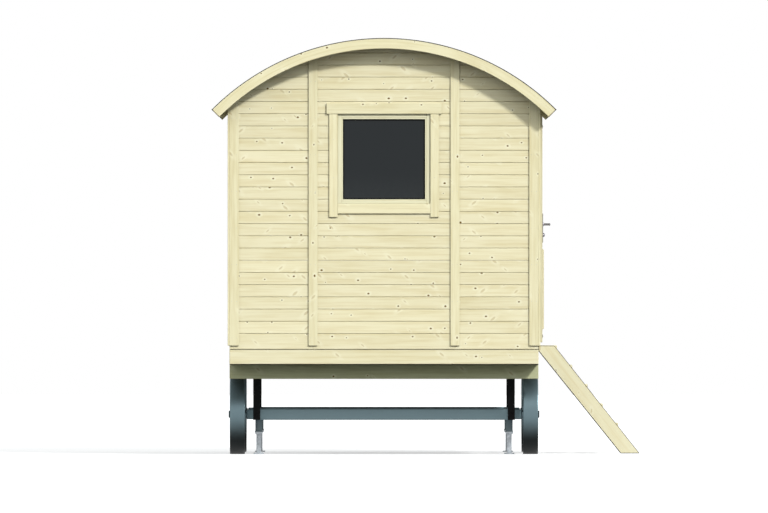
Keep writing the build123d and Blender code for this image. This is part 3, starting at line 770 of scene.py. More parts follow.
def turned(bm, profile, place, steps, closed=False):
    """A shape turned round the place's X axis; the profile is a row of (along, radius)."""
    part = bmesh.new()
    verts = [part.verts.new((along, radius, 0)) for along, radius in profile]
    pairs = list(zip(verts, verts[1:] + verts[:1] if closed else verts[1:]))
    edges = [part.edges.new(pair) for pair in pairs]
    bmesh.ops.spin(
        part,
        geom=verts + edges,
        cent=(0, 0, 0),
        axis=(1, 0, 0),
        dvec=(0, 0, 0),
        angle=tau,
        steps=steps,
        use_merge=True,
        use_duplicate=False,
    )
    bmesh.ops.remove_doubles(part, verts=part.verts, dist=SAME_POINT)
    bmesh.ops.recalc_face_normals(part, faces=part.faces)
    bmesh.ops.transform(part, matrix=place, verts=part.verts)
    join(bm, part)


def facing(point, direction):
    """A place at a point with its X axis along a direction."""
    return Matrix.Translation(point) @ Vector(direction).to_track_quat("X", "Z").to_matrix().to_4x4()


def heads(bm, points, direction, radius, sides=HEAD_SIDES):
    """Low round heads of nails, screws or bolts."""
    for point in points:
        turned(bm, scaled(HEAD_PROFILE, radius, radius), facing(point, direction), sides)


def bolts(bm, points, direction, radius):
    """Six-sided bolt heads on washers."""
    for point in points:
        place = facing(point, direction)
        turned(bm, scaled(WASHER_PROFILE, radius, radius), place, WASHER_SIDES)
        turned(bm, scaled(BOLT_PROFILE, radius, radius), place, BOLT_SIDES)


def piece(name, bm, material, body="hut", replaces=(), smooth_angle=35):
    """A finished piece: its mesh, its finish, the body it rides on and the solids it stands for."""
    mesh = bpy.data.meshes.new(name)
    bm.to_mesh(mesh)
    bm.free()
    mesh.materials.append(material)
    mesh.shade_smooth()
    mesh.set_sharp_from_angle(angle=radians(smooth_angle))
    made = bpy.data.objects.new(name, mesh)
    bpy.context.scene.collection.objects.link(made)
    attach(made, body)
    if replaces:
        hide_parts(*replaces)
    return made


def refinish(node, material):
    """Gives a solid that keeps its own shape its finish."""
    made = frame["nodes"][node]
    made.data.materials.clear()
    made.data.materials.append(material)


def depth_of(run):
    """The axis through a wall or beam that runs along another."""
    return ALONG_Y if run == ALONG_X else ALONG_X


# Walls
def course_levels():
    """The heights of the joints between wall boards, from the sill up to the ridge."""
    levels = [body_low.z, body_low.z + first_course]
    while levels[-1] < felt_high.z:
        levels.append(levels[-1] + BOARD_PITCH)
    return levels


def courses(low_z, high_z):
    """The wall's board courses between two heights."""
    levels = course_levels()
    for bottom, top in zip(levels, levels[1:]):
        bottom, top = max(bottom, low_z), min(top, high_z)
        if top - bottom > LEAST_STRIP:
            yield bottom, top


def round_window(start, end, bottom, top):
    """The parts of a board left beside, under and over the window opening."""
    if top <= sash_low.z + LEAST_STRIP or bottom >= sash_high.z - LEAST_STRIP:
        return [(start, end, bottom, top)]
    parts = [(start, sash_low.x, bottom, top), (sash_high.x, end, bottom, top)]
    if sash_low.z - bottom > LEAST_STRIP:
        parts.append((sash_low.x, sash_high.x, bottom, sash_low.z))
    if top - sash_high.z > LEAST_STRIP:
        parts.append((sash_low.x, sash_high.x, sash_high.z, top))
    return parts


def wall_board(bm, run, span, layer):
    """One board of a wall, within its span of the course and its layer, eased along its length only."""
    start, end, bottom, top = span
    low, high = Vector((0, 0, bottom + BOARD_GAP / 2)), Vector((0, 0, top - BOARD_GAP / 2))
    low[run], high[run] = start + END_GAP, end - END_GAP
    low[depth_of(run)], high[depth_of(run)] = layer
    plank_in(
        bm,
        low,
        high,
        run,
        width=BOARD_EASE,
        cuts=under_roof(low.x, high.x, high.z),
        where=lambda spot: low[run] + END_GAP < spot[run] < high[run] - END_GAP,
    )


def wall_boards(node, run, outward, windowed=False, joints=()):
    """A wall panel: cladding outside and a thicker lining inside, in courses; run is the boards' axis."""
    low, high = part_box(node)
    deep = depth_of(run)
    if outward > 0:
        layers = [(high[deep] - CLADDING_THICKNESS, high[deep]), (low[deep], high[deep] - CLADDING_THICKNESS)]
    else:
        layers = [(low[deep], low[deep] + CLADDING_THICKNESS), (low[deep] + CLADDING_THICKNESS, high[deep])]
    stops = [low[run], *[j for j in joints if low[run] < j < high[run]], high[run]]
    bm = bmesh.new()
    for bottom, top in courses(low.z, high.z):
        for start, end in zip(stops, stops[1:]):
            spans = round_window(start, end, bottom, top) if windowed else [(start, end, bottom, top)]
            for span in spans:
                for layer in layers:
                    wall_board(bm, run, span, layer)
    return piece(node + "_boards", bm, BOARDS, replaces=[node])


for end_name, outward in (("front", -1), ("rear", 1)):
    wall_boards(f"{end_name}_wall_left", ALONG_X, outward)
    wall_boards(f"{end_name}_wall_middle", ALONG_X, outward, windowed=True)
    wall_boards(f"{end_name}_wall_right", ALONG_X, outward)
side_joints = (-SIDE_JOINT_Y, SIDE_JOINT_Y)
wall_boards("left_wall", ALONG_Y, -1, joints=side_joints)
for node in ("right_wall_front", "right_wall_rear", "right_wall_over_door"):
    wall_boards(node, ALONG_Y, 1, joints=side_joints)


# Cover boards
def cover_boards(node, run, middles):
    """Upright cover boards on a wall's face, each given as its middle and width, with pairs of nails."""
    low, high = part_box(node)
    deep = depth_of(run)
    outward = 1 if high[deep] > abs(low[deep]) else -1
    bm, nails = bmesh.new(), bmesh.new()
    for middle, width in middles:
        corner, other = Vector(low), Vector(high)
        corner[run], other[run] = middle - width / 2, middle + width / 2
        plank_in(bm, corner, other, ALONG_Z, cuts=under_roof(corner.x, other.x, high.z))
        face = other[deep] if outward > 0 else corner[deep]
        reach = max(abs(corner.x - mid_x), abs(other.x - mid_x))
        level = low.z + first_course / 2
        while hypot(reach, level + BATTEN_WIDTH - arch_z) < seat_radius:
            for share in COVER_NAIL_SHARES:
                spot = [0.0, 0.0, level]
                spot[run], spot[deep] = corner[run] + share * width, face - outward * NAIL_RADIUS * NAIL_SINK
                heads(nails, [spot], outward * UNITS[deep], NAIL_RADIUS, NAIL_SIDES)
            level += COVER_NAIL_COURSES * BOARD_PITCH
    piece(node + "_planed", bm, TRIM, replaces=[node])
    piece(node + "_nails", nails, GALVANISED)


joint_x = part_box("front_wall_left")[1].x
end_middles = []
for side in (-1, 1):
    half_width = body_high.x - mid_x
    end_middles.append((mid_x + side * (half_width - CORNER_BOARD_WIDTH / 2), CORNER_BOARD_WIDTH))
    end_middles.append((mid_x + side * (mid_x - joint_x), BATTEN_WIDTH))
for node in ("front_cover_boards", "rear_cover_boards"):
    cover_boards(node, ALONG_X, end_middles)
for node in ("left_cover_boards", "right_cover_boards"):
    low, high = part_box(node)
    corner_width = CORNER_BOARD_WIDTH + (high.x - low.x)
    side_middles = [(side * (high.y - corner_width / 2), corner_width) for side in (-1, 1)]
    side_middles += [(y, BATTEN_WIDTH) for y in side_joints]
    cover_boards(node, ALONG_Y, side_middles)

# Window casings
casing_low, casing_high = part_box("window_casings")
sash_half = sash_high.x - mid_x
nail_levels = (
    casing_low.z + CASING_NAIL_FOOT,
    sash_low.z + CASING_NAIL_STEP,
    sash_high.z - CASING_NAIL_STEP,
    sash_high.z - CASING_NAIL_HEAD,
)
bm, nails = bmesh.new(), bmesh.new()
for outward, wall_y, lintel_y in ((-1, body_low.y, casing_low.y), (1, body_high.y, casing_high.y)):
    casing_y = wall_y + outward * CASING_THICKNESS
    y_from, y_to = sorted((wall_y, casing_y))
    for side in (-1, 1):
        x_from, x_to = sorted((mid_x + side * sash_half, mid_x + side * (sash_half + CASING_WIDTH)))
        plank_in(bm, (x_from, y_from, casing_low.z), (x_to, y_to, sash_high.z - END_GAP), ALONG_Z)
        spots = [((x_from + x_to) / 2, casing_y, z) for z in nail_levels]
        heads(nails, spots, (0, outward, 0), NAIL_RADIUS, NAIL_SIDES)
    apron_low = (sash_low.x + END_GAP, y_from, sash_low.z - APRON_HEIGHT)
    plank_in(bm, apron_low, (sash_high.x - END_GAP, y_to, sash_low.z), ALONG_X)
    y_from, y_to = sorted((wall_y, lintel_y))
    plank_in(bm, (casing_low.x, y_from, sash_high.z), (casing_high.x, y_to, casing_high.z), ALONG_X)
piece("window_casings_planed", bm, TRIM, replaces=["window_casings"])
piece("window_casing_nails", nails, GALVANISED)


# Window sashes
def grown(box, amount):
    """A box of (x, z) corners made larger all round."""
    return box[0] - Vector((amount, amount)), box[1] + Vector((amount, amount))


def surround(outer, inner):
    """The corners and grain of two uprights, and two rails between them, that fill the band round a box."""
    (left, foot), (right, head) = outer
    (inner_left, inner_foot), (inner_right, inner_head) = inner
    return [
        ((left, foot), (inner_left, head), ALONG_Z),
        ((inner_right, foot), (right, head), ALONG_Z),
        ((inner_left, foot), (inner_right, inner_foot), ALONG_X),
        ((inner_left, inner_head), (inner_right, head), ALONG_X),
    ]


pane_low, pane_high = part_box("window_panes")
sash_box = (sash_low.xz, sash_high.xz)
pane_box = (pane_low.xz, pane_high.xz)
bead_box = grown(pane_box, BEAD_WIDTH)
bm, gaskets_and_shade = bmesh.new(), bmesh.new()
for outward, face_y, glass_y in ((-1, sash_low.y, pane_low.y), (1, sash_high.y, pane_high.y)):
    back_y = face_y - outward * SASH_DEPTH
    for outer, inner, near_y, far_y, width in (
        (sash_box, bead_box, face_y, back_y, TRIM_EASE),
        (bead_box, pane_box, face_y - outward * BEAD_SETBACK, glass_y, BEAD_EASE),
        (bead_box, pane_box, glass_y - outward * GLASS_THICKNESS, back_y, BEAD_EASE),
    ):
        y_from, y_to = sorted((near_y, far_y))
        for low, high, along in surround(outer, inner):
            plank_in(bm, (low[0], y_from, low[1]), (high[0], y_to, high[1]), along, width=width)
    # A black glazing gasket round each pane, also painted shade along the glass's edge
    y_from, y_to = sorted((glass_y, glass_y + outward * GASKET_AND_SHADE_THICKNESS))
    for low, high, _ in surround(pane_box, grown(pane_box, -GASKET_AND_SHADE_WIDTH)):
        bar(gaskets_and_shade, (low[0], y_from, low[1]), (high[0], y_to, high[1]), GASKET_AND_SHADE_THICKNESS / 3)
piece("window_sashes_planed", bm, SASH_PINE, replaces=["window_sashes"])
piece("window_gaskets_and_shade", gaskets_and_shade, GASKET_AND_SHADE)
refinish("window_panes", GLASS)

# Doorway
frame_low, frame_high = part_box("door_frame")
bm = bmesh.new()
for side in (-1, 1):
    y_from, y_to = sorted((side * frame_high.y, side * (frame_high.y - DOOR_POST_WIDTH)))
    top = frame_high.z - DOOR_HEAD_HEIGHT - END_GAP
    plank_in(bm, (frame_low.x, y_from, frame_low.z), (frame_high.x, y_to, top), ALONG_Z)
plank_in(bm, (frame_low.x, frame_low.y, frame_high.z - DOOR_HEAD_HEIGHT), frame_high, ALONG_Y)
piece("door_frame_planed", bm, SHADED_FRAME_PINE, replaces=["door_frame"])

bm = bmesh.new()
plank_in(bm, *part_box("door_sill"), ALONG_Y, width=BEAM_EASE, segments=2)
piece("door_sill_planed", bm, TRIM, replaces=["door_sill"])

# Door leaf
leaf_low, leaf_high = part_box("door_leaf")
bm = bmesh.new()
board_width = (leaf_high.y - leaf_low.y) / DOOR_BOARD_COUNT
for number in range(DOOR_BOARD_COUNT):
    y_from = leaf_low.y + number * board_width + BOARD_GAP / 2
    y_to = y_from + board_width - BOARD_GAP
    low, high = (leaf_low.x, y_from, leaf_low.z), (leaf_high.x, y_to, leaf_high.z)
    plank_in(bm, low, high, ALONG_Z, width=BOARD_EASE)
piece("door_leaf_boards", bm, SHADED_DOOR_PINE, "door", ["door_leaf"])

panel_low, panel_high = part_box("door_panel")
bm = bmesh.new()
raised_from = panel_high.x - DOOR_PANEL_EASE / 4
size, place = laid(panel_low, panel_high, ALONG_Z)
plank(bm, size, place, DOOR_PANEL_EASE, where=lambda spot: spot.x > raised_from)
piece("door_panel_planed", bm, SHADED_DOOR_PINE, "door", ["door_panel"])

refinish("door_straps", BLACK)
refinish("hinge_pintles", BLACK)
strap_low, strap_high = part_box("door_straps")
bm = bmesh.new()
for level in (strap_low.z + STRAP_WIDTH / 2, strap_high.z - STRAP_WIDTH / 2):
    screw_ys = [strap_low.y + share * (strap_high.y - strap_low.y) for share in STRAP_SCREW_SHARES]
    heads(bm, [(strap_high.x, y, level) for y in screw_ys], (1, 0, 0), SCREW_RADIUS)
piece("strap_screws", bm, BLACK, "door")

# Lock and lever
lock_low, lock_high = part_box("lock_plates")
lever_low, lever_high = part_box("door_lever")
lever_at = joint_at["lever_turn"]
outer_plate_x = leaf_high.x + LOCK_PLATE_THICKNESS
inner_plate_x = leaf_low.x - LOCK_PLATE_THICKNESS
bm = bmesh.new()
for x_from, x_to in ((leaf_high.x, outer_plate_x), (inner_plate_x, leaf_low.x)):
    part = block_in((x_from, lock_low.y, lock_low.z), (x_to, lock_high.y, lock_high.z))
    middle_x = (x_from + x_to) / 2
    ease(part, LOCK_PLATE_CORNER, segments=5, where=lambda spot: abs(spot.x - middle_x) < END_GAP)
    ease(part, LOCK_PLATE_THICKNESS / 4, where=lambda spot: abs(spot.x - middle_x) > END_GAP)
    join(bm, part)
boss_profile = scaled(KEYHOLE_BOSS_PROFILE, lock_high.x - leaf_high.x, KEYHOLE_BOSS_RADIUS)
boss_place = facing((leaf_high.x, lever_at.y, lever_at.z - KEYHOLE_DROP), (1, 0, 0))
turned(bm, boss_profile, boss_place, KEYHOLE_BOSS_SIDES)
screw_levels = (lock_low.z + LOCK_SCREW_INSET, lock_high.z - LOCK_SCREW_INSET)
spots = [(outer_plate_x, lever_at.y, z) for z in screw_levels]
heads(bm, spots, (1, 0, 0), SCREW_RADIUS * LOCK_SCREW_SHARE)
piece("lock_plates_bright", bm, LOCK_STEEL, "door", ["lock_plates"])

bm = bmesh.new()
for direction, plate_x, tip_x in ((1, outer_plate_x, lever_high.x), (-1, inner_plate_x, lever_low.x)):
    neck_end = abs(tip_x - plate_x) - LEVER_GRIP_THICKNESS / 2
    neck_profile = [
        (-LOCK_PLATE_THICKNESS, 0),
        (-LOCK_PLATE_THICKNESS, LEVER_NECK_RADIUS),
        (LEVER_ROSE_GAP, LEVER_NECK_RADIUS),
        (LEVER_ROSE_GAP, LEVER_ROSE_RADIUS),
        (LEVER_ROSE_RIM, LEVER_ROSE_RADIUS * LEVER_ROSE_TAPER),
        (LEVER_ROSE_DEPTH, LEVER_NECK_RADIUS),
        (neck_end, LEVER_NECK_RADIUS * LEVER_NECK_TAPER),
        (neck_end, 0),
    ]
    neck_place = facing((plate_x, lever_at.y, lever_at.z), (direction, 0, 0))
    turned(bm, neck_profile, neck_place, LEVER_NECK_SIDES)
    x_from, x_to = sorted((tip_x, tip_x - direction * LEVER_GRIP_THICKNESS))
    low, high = (x_from, lever_low.y, lever_low.z), (x_to, lever_high.y, lever_high.z)
    bar(bm, low, high, LEVER_GRIP_EASE, segments=3)
piece("door_lever_bright", bm, LOCK_STEEL, "lever", ["door_lever"])


# Roof
def arc_frame(angle):
    """The ways out from the roof's axis and along its arc, at an angle from the ridge."""
    return Vector((sin(angle), 0, cos(angle))), Vector((cos(angle), 0, -sin(angle)))


bm = bmesh.new()
deck_step = 2 * eave_angle / DECK_BOARD_COUNT
size = (deck_high.y - deck_low.y, deck_step * ceiling_radius - END_GAP, deck_radius - ceiling_radius)
for number in range(DECK_BOARD_COUNT):
    outwards, tangent = arc_frame(-eave_angle + (number + 0.5) * deck_step)
    turn = Matrix((UNITS[1], tangent, -outwards)).transposed().to_4x4()
    middle = Vector((mid_x, (deck_low.y + deck_high.y) / 2, arch_z))
    middle += outwards * (deck_radius + ceiling_radius) / 2
    plank(bm, size, Matrix.Translation(middle) @ turn, width=BOARD_EASE)
piece("roof_deck_boards", bm, BOARDS, replaces=["roof_deck"])

fascia_thickness = deck_low.y - fascia_low.y
fascia_spans = (
    (fascia_low.y, fascia_low.y + fascia_thickness),
    (fascia_high.y - fascia_thickness, fascia_high.y),
)
bm = bmesh.new()
for y_from, y_to in fascia_spans:
    bent_plank(bm, fascia_inner_radius, deck_radius, y_from, y_to, TRIM_EASE)
piece("roof_fascias_bent", bm, TRIM, replaces=["roof_fascias"])

rib_low, rib_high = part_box("roof_ribs")
rib_step = (rib_high.y - rib_low.y - RIB_THICKNESS) / (RIB_COUNT - 1)
rib_ends = [(Vector((rib_low.x, 0, 0)), -UNITS[0]), (Vector((rib_high.x, 0, 0)), UNITS[0])]
bm = bmesh.new()
for number in range(RIB_COUNT):
    y_from = rib_low.y + number * rib_step
    y_to = y_from + RIB_THICKNESS
    bent_plank(bm, seat_radius - RIB_DEPTH, seat_radius, y_from, y_to, TRIM_EASE, cuts=rib_ends)
piece("roof_ribs_bent", bm, TRIM, replaces=["roof_ribs"])

# Felt: lapped strips, folded over the eaves and the verges, and the fascias' end grain under the folds
bm, caps = bmesh.new(), bmesh.new()
strip = (felt_high.y - felt_low.y + (FELT_STRIP_COUNT - 1) * FELT_LAP) / FELT_STRIP_COUNT
for number in range(FELT_STRIP_COUNT):
    y_from = felt_low.y + number * (strip - FELT_LAP)
    outer = roof_radius - FELT_LAP_DEPTH + FELT_LAP_DEPTH * (number % 2)
    bent_plank(bm, deck_radius, outer, y_from, y_from + strip, FELT_LAP_DEPTH / 3)
for side in (-1, 1):
    outwards, tangent = arc_frame(side * eave_angle)
    turn = Matrix((UNITS[1], outwards, UNITS[1].cross(outwards))).transposed().to_4x4()
    folds = [(bm, (felt_low.y, felt_high.y), ceiling_radius + FELT_FOLD_THICKNESS, roof_radius)]
    folds += [(caps, ends, fascia_inner_radius, ceiling_radius) for ends in fascia_spans]
    for target, (y_from, y_to), foot_radius, head_radius in folds:
        middle = Vector((mid_x, (y_from + y_to) / 2, arch_z))
        middle += outwards * (head_radius + foot_radius) / 2 + side * tangent * FELT_FOLD_THICKNESS / 2
        size = (y_to - y_from, head_radius - foot_radius, FELT_FOLD_THICKNESS)
        plank(target, size, Matrix.Translation(middle) @ turn, width=FELT_FOLD_THICKNESS / 4)
for y_from in (felt_low.y - FELT_VERGE_THICKNESS, felt_high.y):
    inner, outer = deck_radius - FELT_VERGE_DROP, roof_radius - FELT_LAP_DEPTH
    bent_plank(bm, inner, outer, y_from, y_from + FELT_VERGE_THICKNESS, FELT_VERGE_THICKNESS / 4)
piece("roof_felt_strips", bm, FELT, replaces=["roof_felt"])
piece("roof_fascia_caps", caps, END_GRAIN)

# Chassis timbers
bearer_low, bearer_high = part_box("chassis_bearers")
wheel_boxes = {corner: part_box(f"{corner}_wheel") for corner in CORNERS}
axle_y = joint_at["rear_left_wheel_spin"].y
axle_z = joint_at["rear_left_wheel_spin"].z
axle_bearer_ends = (mid_x - AXLE_BEARER_LENGTH / 2, mid_x + AXLE_BEARER_LENGTH / 2)
full_bearer_ys = (bearer_low.y + BEARER_WIDTH / 2, 0.0, bearer_high.y - BEARER_WIDTH / 2)
bearers = [(y, bearer_low.x, bearer_high.x) for y in full_bearer_ys]
bearers += [(y, *axle_bearer_ends) for y in (-axle_y, axle_y)]
bm = bmesh.new()
for y, x_from, x_to in bearers:
    low = (x_from, y - BEARER_WIDTH / 2, bearer_low.z)
    plank_in(bm, low, (x_to, y + BEARER_WIDTH / 2, bearer_high.z), ALONG_X, width=BEAM_EASE)
piece("chassis_bearers_sawn", bm, SHADED_TREATED_PINE, replaces=["chassis_bearers"])

# Thin dark felt strips along the top of the bearers' faces: damp-proof strips, and painted shade in the
# crease under the beams
bm = bmesh.new()
for y in full_bearer_ys:
    for outward in (-1, 1):
        near = y + outward * BEARER_WIDTH / 2
        y_from, y_to = sorted((near, near + outward * DAMP_AND_SHADE_STRIP_THICKNESS))
        low = (bearer_low.x, y_from, bearer_high.z - DAMP_AND_SHADE_STRIP_HEIGHT)
        bar(bm, low, (bearer_high.x, y_to, bearer_high.z), DAMP_AND_SHADE_STRIP_THICKNESS / 4, segments=1)
piece("bearer_damp_and_shade_strips", bm, FELT)

for node, along in (("end_beams", ALONG_X), ("side_beams", ALONG_Y)):
    low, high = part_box(node)
    deep = depth_of(along)
    bm = bmesh.new()
    for near, far in ((low[deep], low[deep] + BEAM_WIDTH), (high[deep] - BEAM_WIDTH, high[deep])):
        corner, other = Vector(low), Vector(high)
        corner[deep], other[deep] = near, far
        plank_in(bm, corner, other, along, width=BEAM_EASE)
    piece(node + "_sawn", bm, BEAMS, replaces=[node])

low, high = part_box("floor_joists")
bm = bmesh.new()
for number in range(JOIST_COUNT):
    y = low.y + number * (high.y - low.y - BEAM_WIDTH) / (JOIST_COUNT - 1)
    plank_in(bm, (low.x, y, low.z), (high.x, y + BEAM_WIDTH, high.z), ALONG_X, width=BEAM_EASE)
piece("floor_joists_sawn", bm, BEAMS, replaces=["floor_joists"])

low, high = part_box("floor_boards")
bm = bmesh.new()
count = round((high.x - low.x) / FLOOR_BOARD_WIDTH)
board_width = (high.x - low.x) / count
for number in range(count):
    x_from = low.x + number * board_width + END_GAP
    x_to = low.x + (number + 1) * board_width - END_GAP
    plank_in(bm, (x_from, low.y, low.z), (x_to, high.y, high.z), ALONG_Y, width=FLOOR_BOARD_EASE)
piece("floor_boards_planed", bm, BOARDS, replaces=["floor_boards"])

# Axles
hanger_low, hanger_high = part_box("axle_hangers")
beam_half = hanger_high.x - mid_x
stub_half = wheel_boxes["front_right"][0].x - mid_x - AXLE_STUB_GAP
spindle_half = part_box("axles")[1].x - mid_x
spindle = scaled(((-1, 0), (-1, 1), (1, 1), (1, 0)), spindle_half, SPINDLE_RADIUS)
bm = bmesh.new()
for y in (-axle_y, axle_y):
    for half, size in ((beam_half, AXLE_SIZE), (stub_half, AXLE_STUB_SIZE)):
        low = (mid_x - half, y - size / 2, axle_z - size / 2)
        bar(bm, low, (mid_x + half, y + size / 2, axle_z + size / 2), AXLE_EASE, segments=3)
    turned(bm, spindle, Matrix.Translation((mid_x, y, axle_z)), SPINDLE_SIDES)
piece("axles_painted", bm, BLUE_GREY, replaces=["axles"])

collar_low, collar_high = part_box("axle_collars")
collar_thickness = collar_high.x - mid_x - spindle_half
collar_radius = (collar_high.z - collar_low.z) / 2
collar_profile = [
    (0, 0),
    (0, collar_radius),
    (collar_thickness * COLLAR_SHOULDER, collar_radius),
    (collar_thickness, collar_radius * COLLAR_CHAMFER),
    (collar_thickness, SPINDLE_RADIUS),
    (collar_thickness * COLLAR_SHOULDER, SPINDLE_RADIUS * COLLAR_CHAMFER),
    (collar_thickness * COLLAR_SHOULDER, 0),
]
bm = bmesh.new()
for side, end in CORNERS.values():
    place = Matrix.Translation((mid_x + side * spindle_half, end * axle_y, axle_z))
    turned(bm, scaled(collar_profile, side, 1), place, COLLAR_SIDES)
piece("axle_collars_bright", bm, BLACK, replaces=["axle_collars"], smooth_angle=25)


# Wheels
def wheel(corner, side):
    """A steel wheel: a turned rim with a stiffening rib, tapered spokes and a turned hub."""
    low, high = wheel_boxes[corner]
    centre = joint_at[f"{corner}_wheel_spin"]
    radius = (high.z - low.z) / 2
    inner = radius - RIM_THICKNESS
    half = WHEEL_WIDTH / 2
    outer_x = high.x if side > 0 else low.x
    rim_middle = Vector((outer_x - side * half, centre.y, centre.z))
    bm = bmesh.new()

    rim = [(half - inset, radius - drop) for inset, drop in RIM_TREAD_EDGE]
    rim += [(half - inset, inner + drop) for inset, drop in RIM_INNER_EDGE]
    rim += [(along, inner - height) for along, height in RIM_RIB]
    rim += [(-along, out) for along, out in reversed(rim)]
    turned(bm, rim, Matrix.Translation(rim_middle), RIM_SIDES, closed=True)

    hub_length = high.x - low.x
    hub = [(0, SPINDLE_RADIUS + HUB_BORE_GAP), *scaled(HUB_STEPS, 1, HUB_RADIUS)]
    hub += [(hub_length - along, out) for along, out in reversed(hub)]
    turned(bm, hub, Matrix.Translation((low.x, centre.y, centre.z)), HUB_SIDES, closed=True)

    start, stop = HUB_RADIUS * SPOKE_HUB_SHARE, inner - SPOKE_RIM_GAP
    middle_z = (start + stop) / 2
    for number in range(SPOKE_COUNT):
        part = block((SPOKE_THICKNESS, SPOKE_HUB_WIDTH, stop - start), Matrix.Translation((0, 0, middle_z)))
        tips = [v for v in part.verts if v.co.z > middle_z]
        bmesh.ops.scale(part, vec=(1, SPOKE_RIM_WIDTH / SPOKE_HUB_WIDTH, 1), verts=tips)
        ease(part, SPOKE_EASE, segments=2)
        turn = Matrix.Rotation(tau * number / SPOKE_COUNT, 4, "X")
        bmesh.ops.transform(part, matrix=Matrix.Translation(rim_middle) @ turn, verts=part.verts)
        join(bm, part)
    wheel_stands_for = [f"{corner}_wheel"]
    piece(f"{corner}_wheel_painted", bm, WHEEL_GREY, f"{corner}_wheel", wheel_stands_for)


for corner, (side, end) in CORNERS.items():
    wheel(corner, side)

# Axle hangers
bm, fixings = bmesh.new(), bmesh.new()
hanger_x = hanger_high.x - HANGER_WIDTH / 2 - mid_x
hanger_half = hanger_high.y - axle_y
for side, end in CORNERS.values():
    x, y = mid_x + side * hanger_x, end * axle_y
    low = (x - HANGER_WIDTH / 2, y - hanger_half, hanger_low.z)
    part = block_in(low, (x + HANGER_WIDTH / 2, y + hanger_half, hanger_high.z))
    open_faces = [f for f in part.faces if abs(f.normal.x) > 0.5 or f.normal.z < -0.5]
    bmesh.ops.delete(part, geom=open_faces, context="FACES")
    bent_from = hanger_high.z - END_GAP
    ease(
        part,
        HANGER_BEND_RADIUS,
        segments=4,
        where=lambda spot: spot.z > bent_from and abs(spot.y - y) > hanger_half / 2,
    )
    bmesh.ops.recalc_face_normals(part, faces=part.faces)
    bmesh.ops.solidify(part, geom=part.faces[:], thickness=HANGER_THICKNESS)
    bmesh.ops.recalc_face_normals(part, faces=part.faces)
    join(bm, part)
    bolt_levels = (axle_z, bearer_low.z - HANGER_BOLT_DROP)
    for outward in (-1, 1):
        spots = [(x, y + outward * hanger_half, z) for z in bolt_levels]
        bolts(fixings, spots, (0, outward, 0), BOLT_RADIUS)
piece("axle_hangers_bent", bm, BLACK, replaces=["axle_hangers"])
piece("axle_hanger_bolts", fixings, BLACK)


# Jacks
def square_bar(bm, centre, size, foot, head, width, segments=2, ends=True):
    """A square upright bar round a centre line, between two heights; ends says whether its ends are eased."""
    half = size / 2
    low, high = (centre.x - half, centre.y - half, foot), (centre.x + half, centre.y + half, head)

    def upright(spot):
        """Whether an edge with this middle is one of the bar's four upright ones."""
        return abs(spot.x - centre.x) > half / 2 and abs(spot.y - centre.y) > half / 2

    bar(bm, low, high, width, segments, None if ends else upright)


tube_low, tube_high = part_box("jack_tubes")
collar_foot = tube_low.z + JACK_THROAT_DEPTH
collar_head = tube_low.z + JACK_COLLAR_HEIGHT
cap_foot = tube_high.z - JACK_CAP_HEIGHT
throat_bore = JACK_LEG_SIZE / 2 + JACK_THROAT_GAP
throat_shoulder = JACK_COLLAR_SIZE / 2 - JACK_LIP
throat_length = JACK_THROAT_DEPTH + JACK_THROAT_NECK
throat_profile = [
    (0, throat_bore),
    (0, throat_shoulder),
    (JACK_THROAT_DEPTH, throat_shoulder),
    (throat_length, JACK_LEG_SIZE / 2 + JACK_THROAT_LIP),
    (throat_length, throat_bore),
]
downwards = Matrix.Rotation(radians(90), 4, "Y") @ Matrix.Rotation(radians(45), 4, "X")
tubes, throats = bmesh.new(), bmesh.new()
for corner in CORNERS:
    leg_low, leg_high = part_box(f"{corner}_jack_leg")
    centre = (leg_low + leg_high) / 2
    foot_top = leg_low.z + JACK_FOOT_THICKNESS
    square_bar(
        tubes, centre, JACK_TUBE_SIZE, collar_head, tube_high.z, JACK_TUBE_EASE, segments=3, ends=False
    )
    square_bar(tubes, centre, JACK_COLLAR_SIZE, collar_foot, collar_head, JACK_LIP)
    square_bar(tubes, centre, JACK_TUBE_SIZE + 2 * JACK_LIP, cap_foot, tube_high.z, JACK_LIP)
    throat_place = Matrix.Translation((centre.x, centre.y, collar_foot)) @ downwards
    turned(throats, scaled(throat_profile, 1, sqrt(2)), throat_place, steps=4, closed=True)

    leg = bmesh.new()
    square_bar(leg, centre, JACK_LEG_SIZE, foot_top, leg_high.z, JACK_LEG_EASE, segments=3, ends=False)
    bar(leg, leg_low, (leg_high.x, leg_high.y, foot_top))
    leg_stands_for = [f"{corner}_jack_leg"]
    piece(f"{corner}_jack_leg_zinc", leg, GALVANISED, f"{corner}_jack", leg_stands_for)
piece("jack_tubes_painted", tubes, JACK_GREY, replaces=["jack_tubes"])
piece("jack_throats_zinc", throats, GALVANISED)

# Stringers
stringer_low, stringer_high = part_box("step_stringers")
top_front = Vector((stringer_low.x + STRINGER_TOP_LENGTH, 0, stringer_high.z))
toe = Vector((stringer_high.x, 0, stringer_low.z))
heel = Vector((stringer_low.x, 0, stringer_high.z - STRINGER_HEEL))
foot_back = Vector((stringer_high.x - STRINGER_FOOT_LENGTH, 0, stringer_low.z))


def side_of(start, end):
    """The plane through two points of the stringer's outline, its outside on the right of the way."""
    way = end - start
    return start, Vector((way.z, 0, -way.x)).normalized()


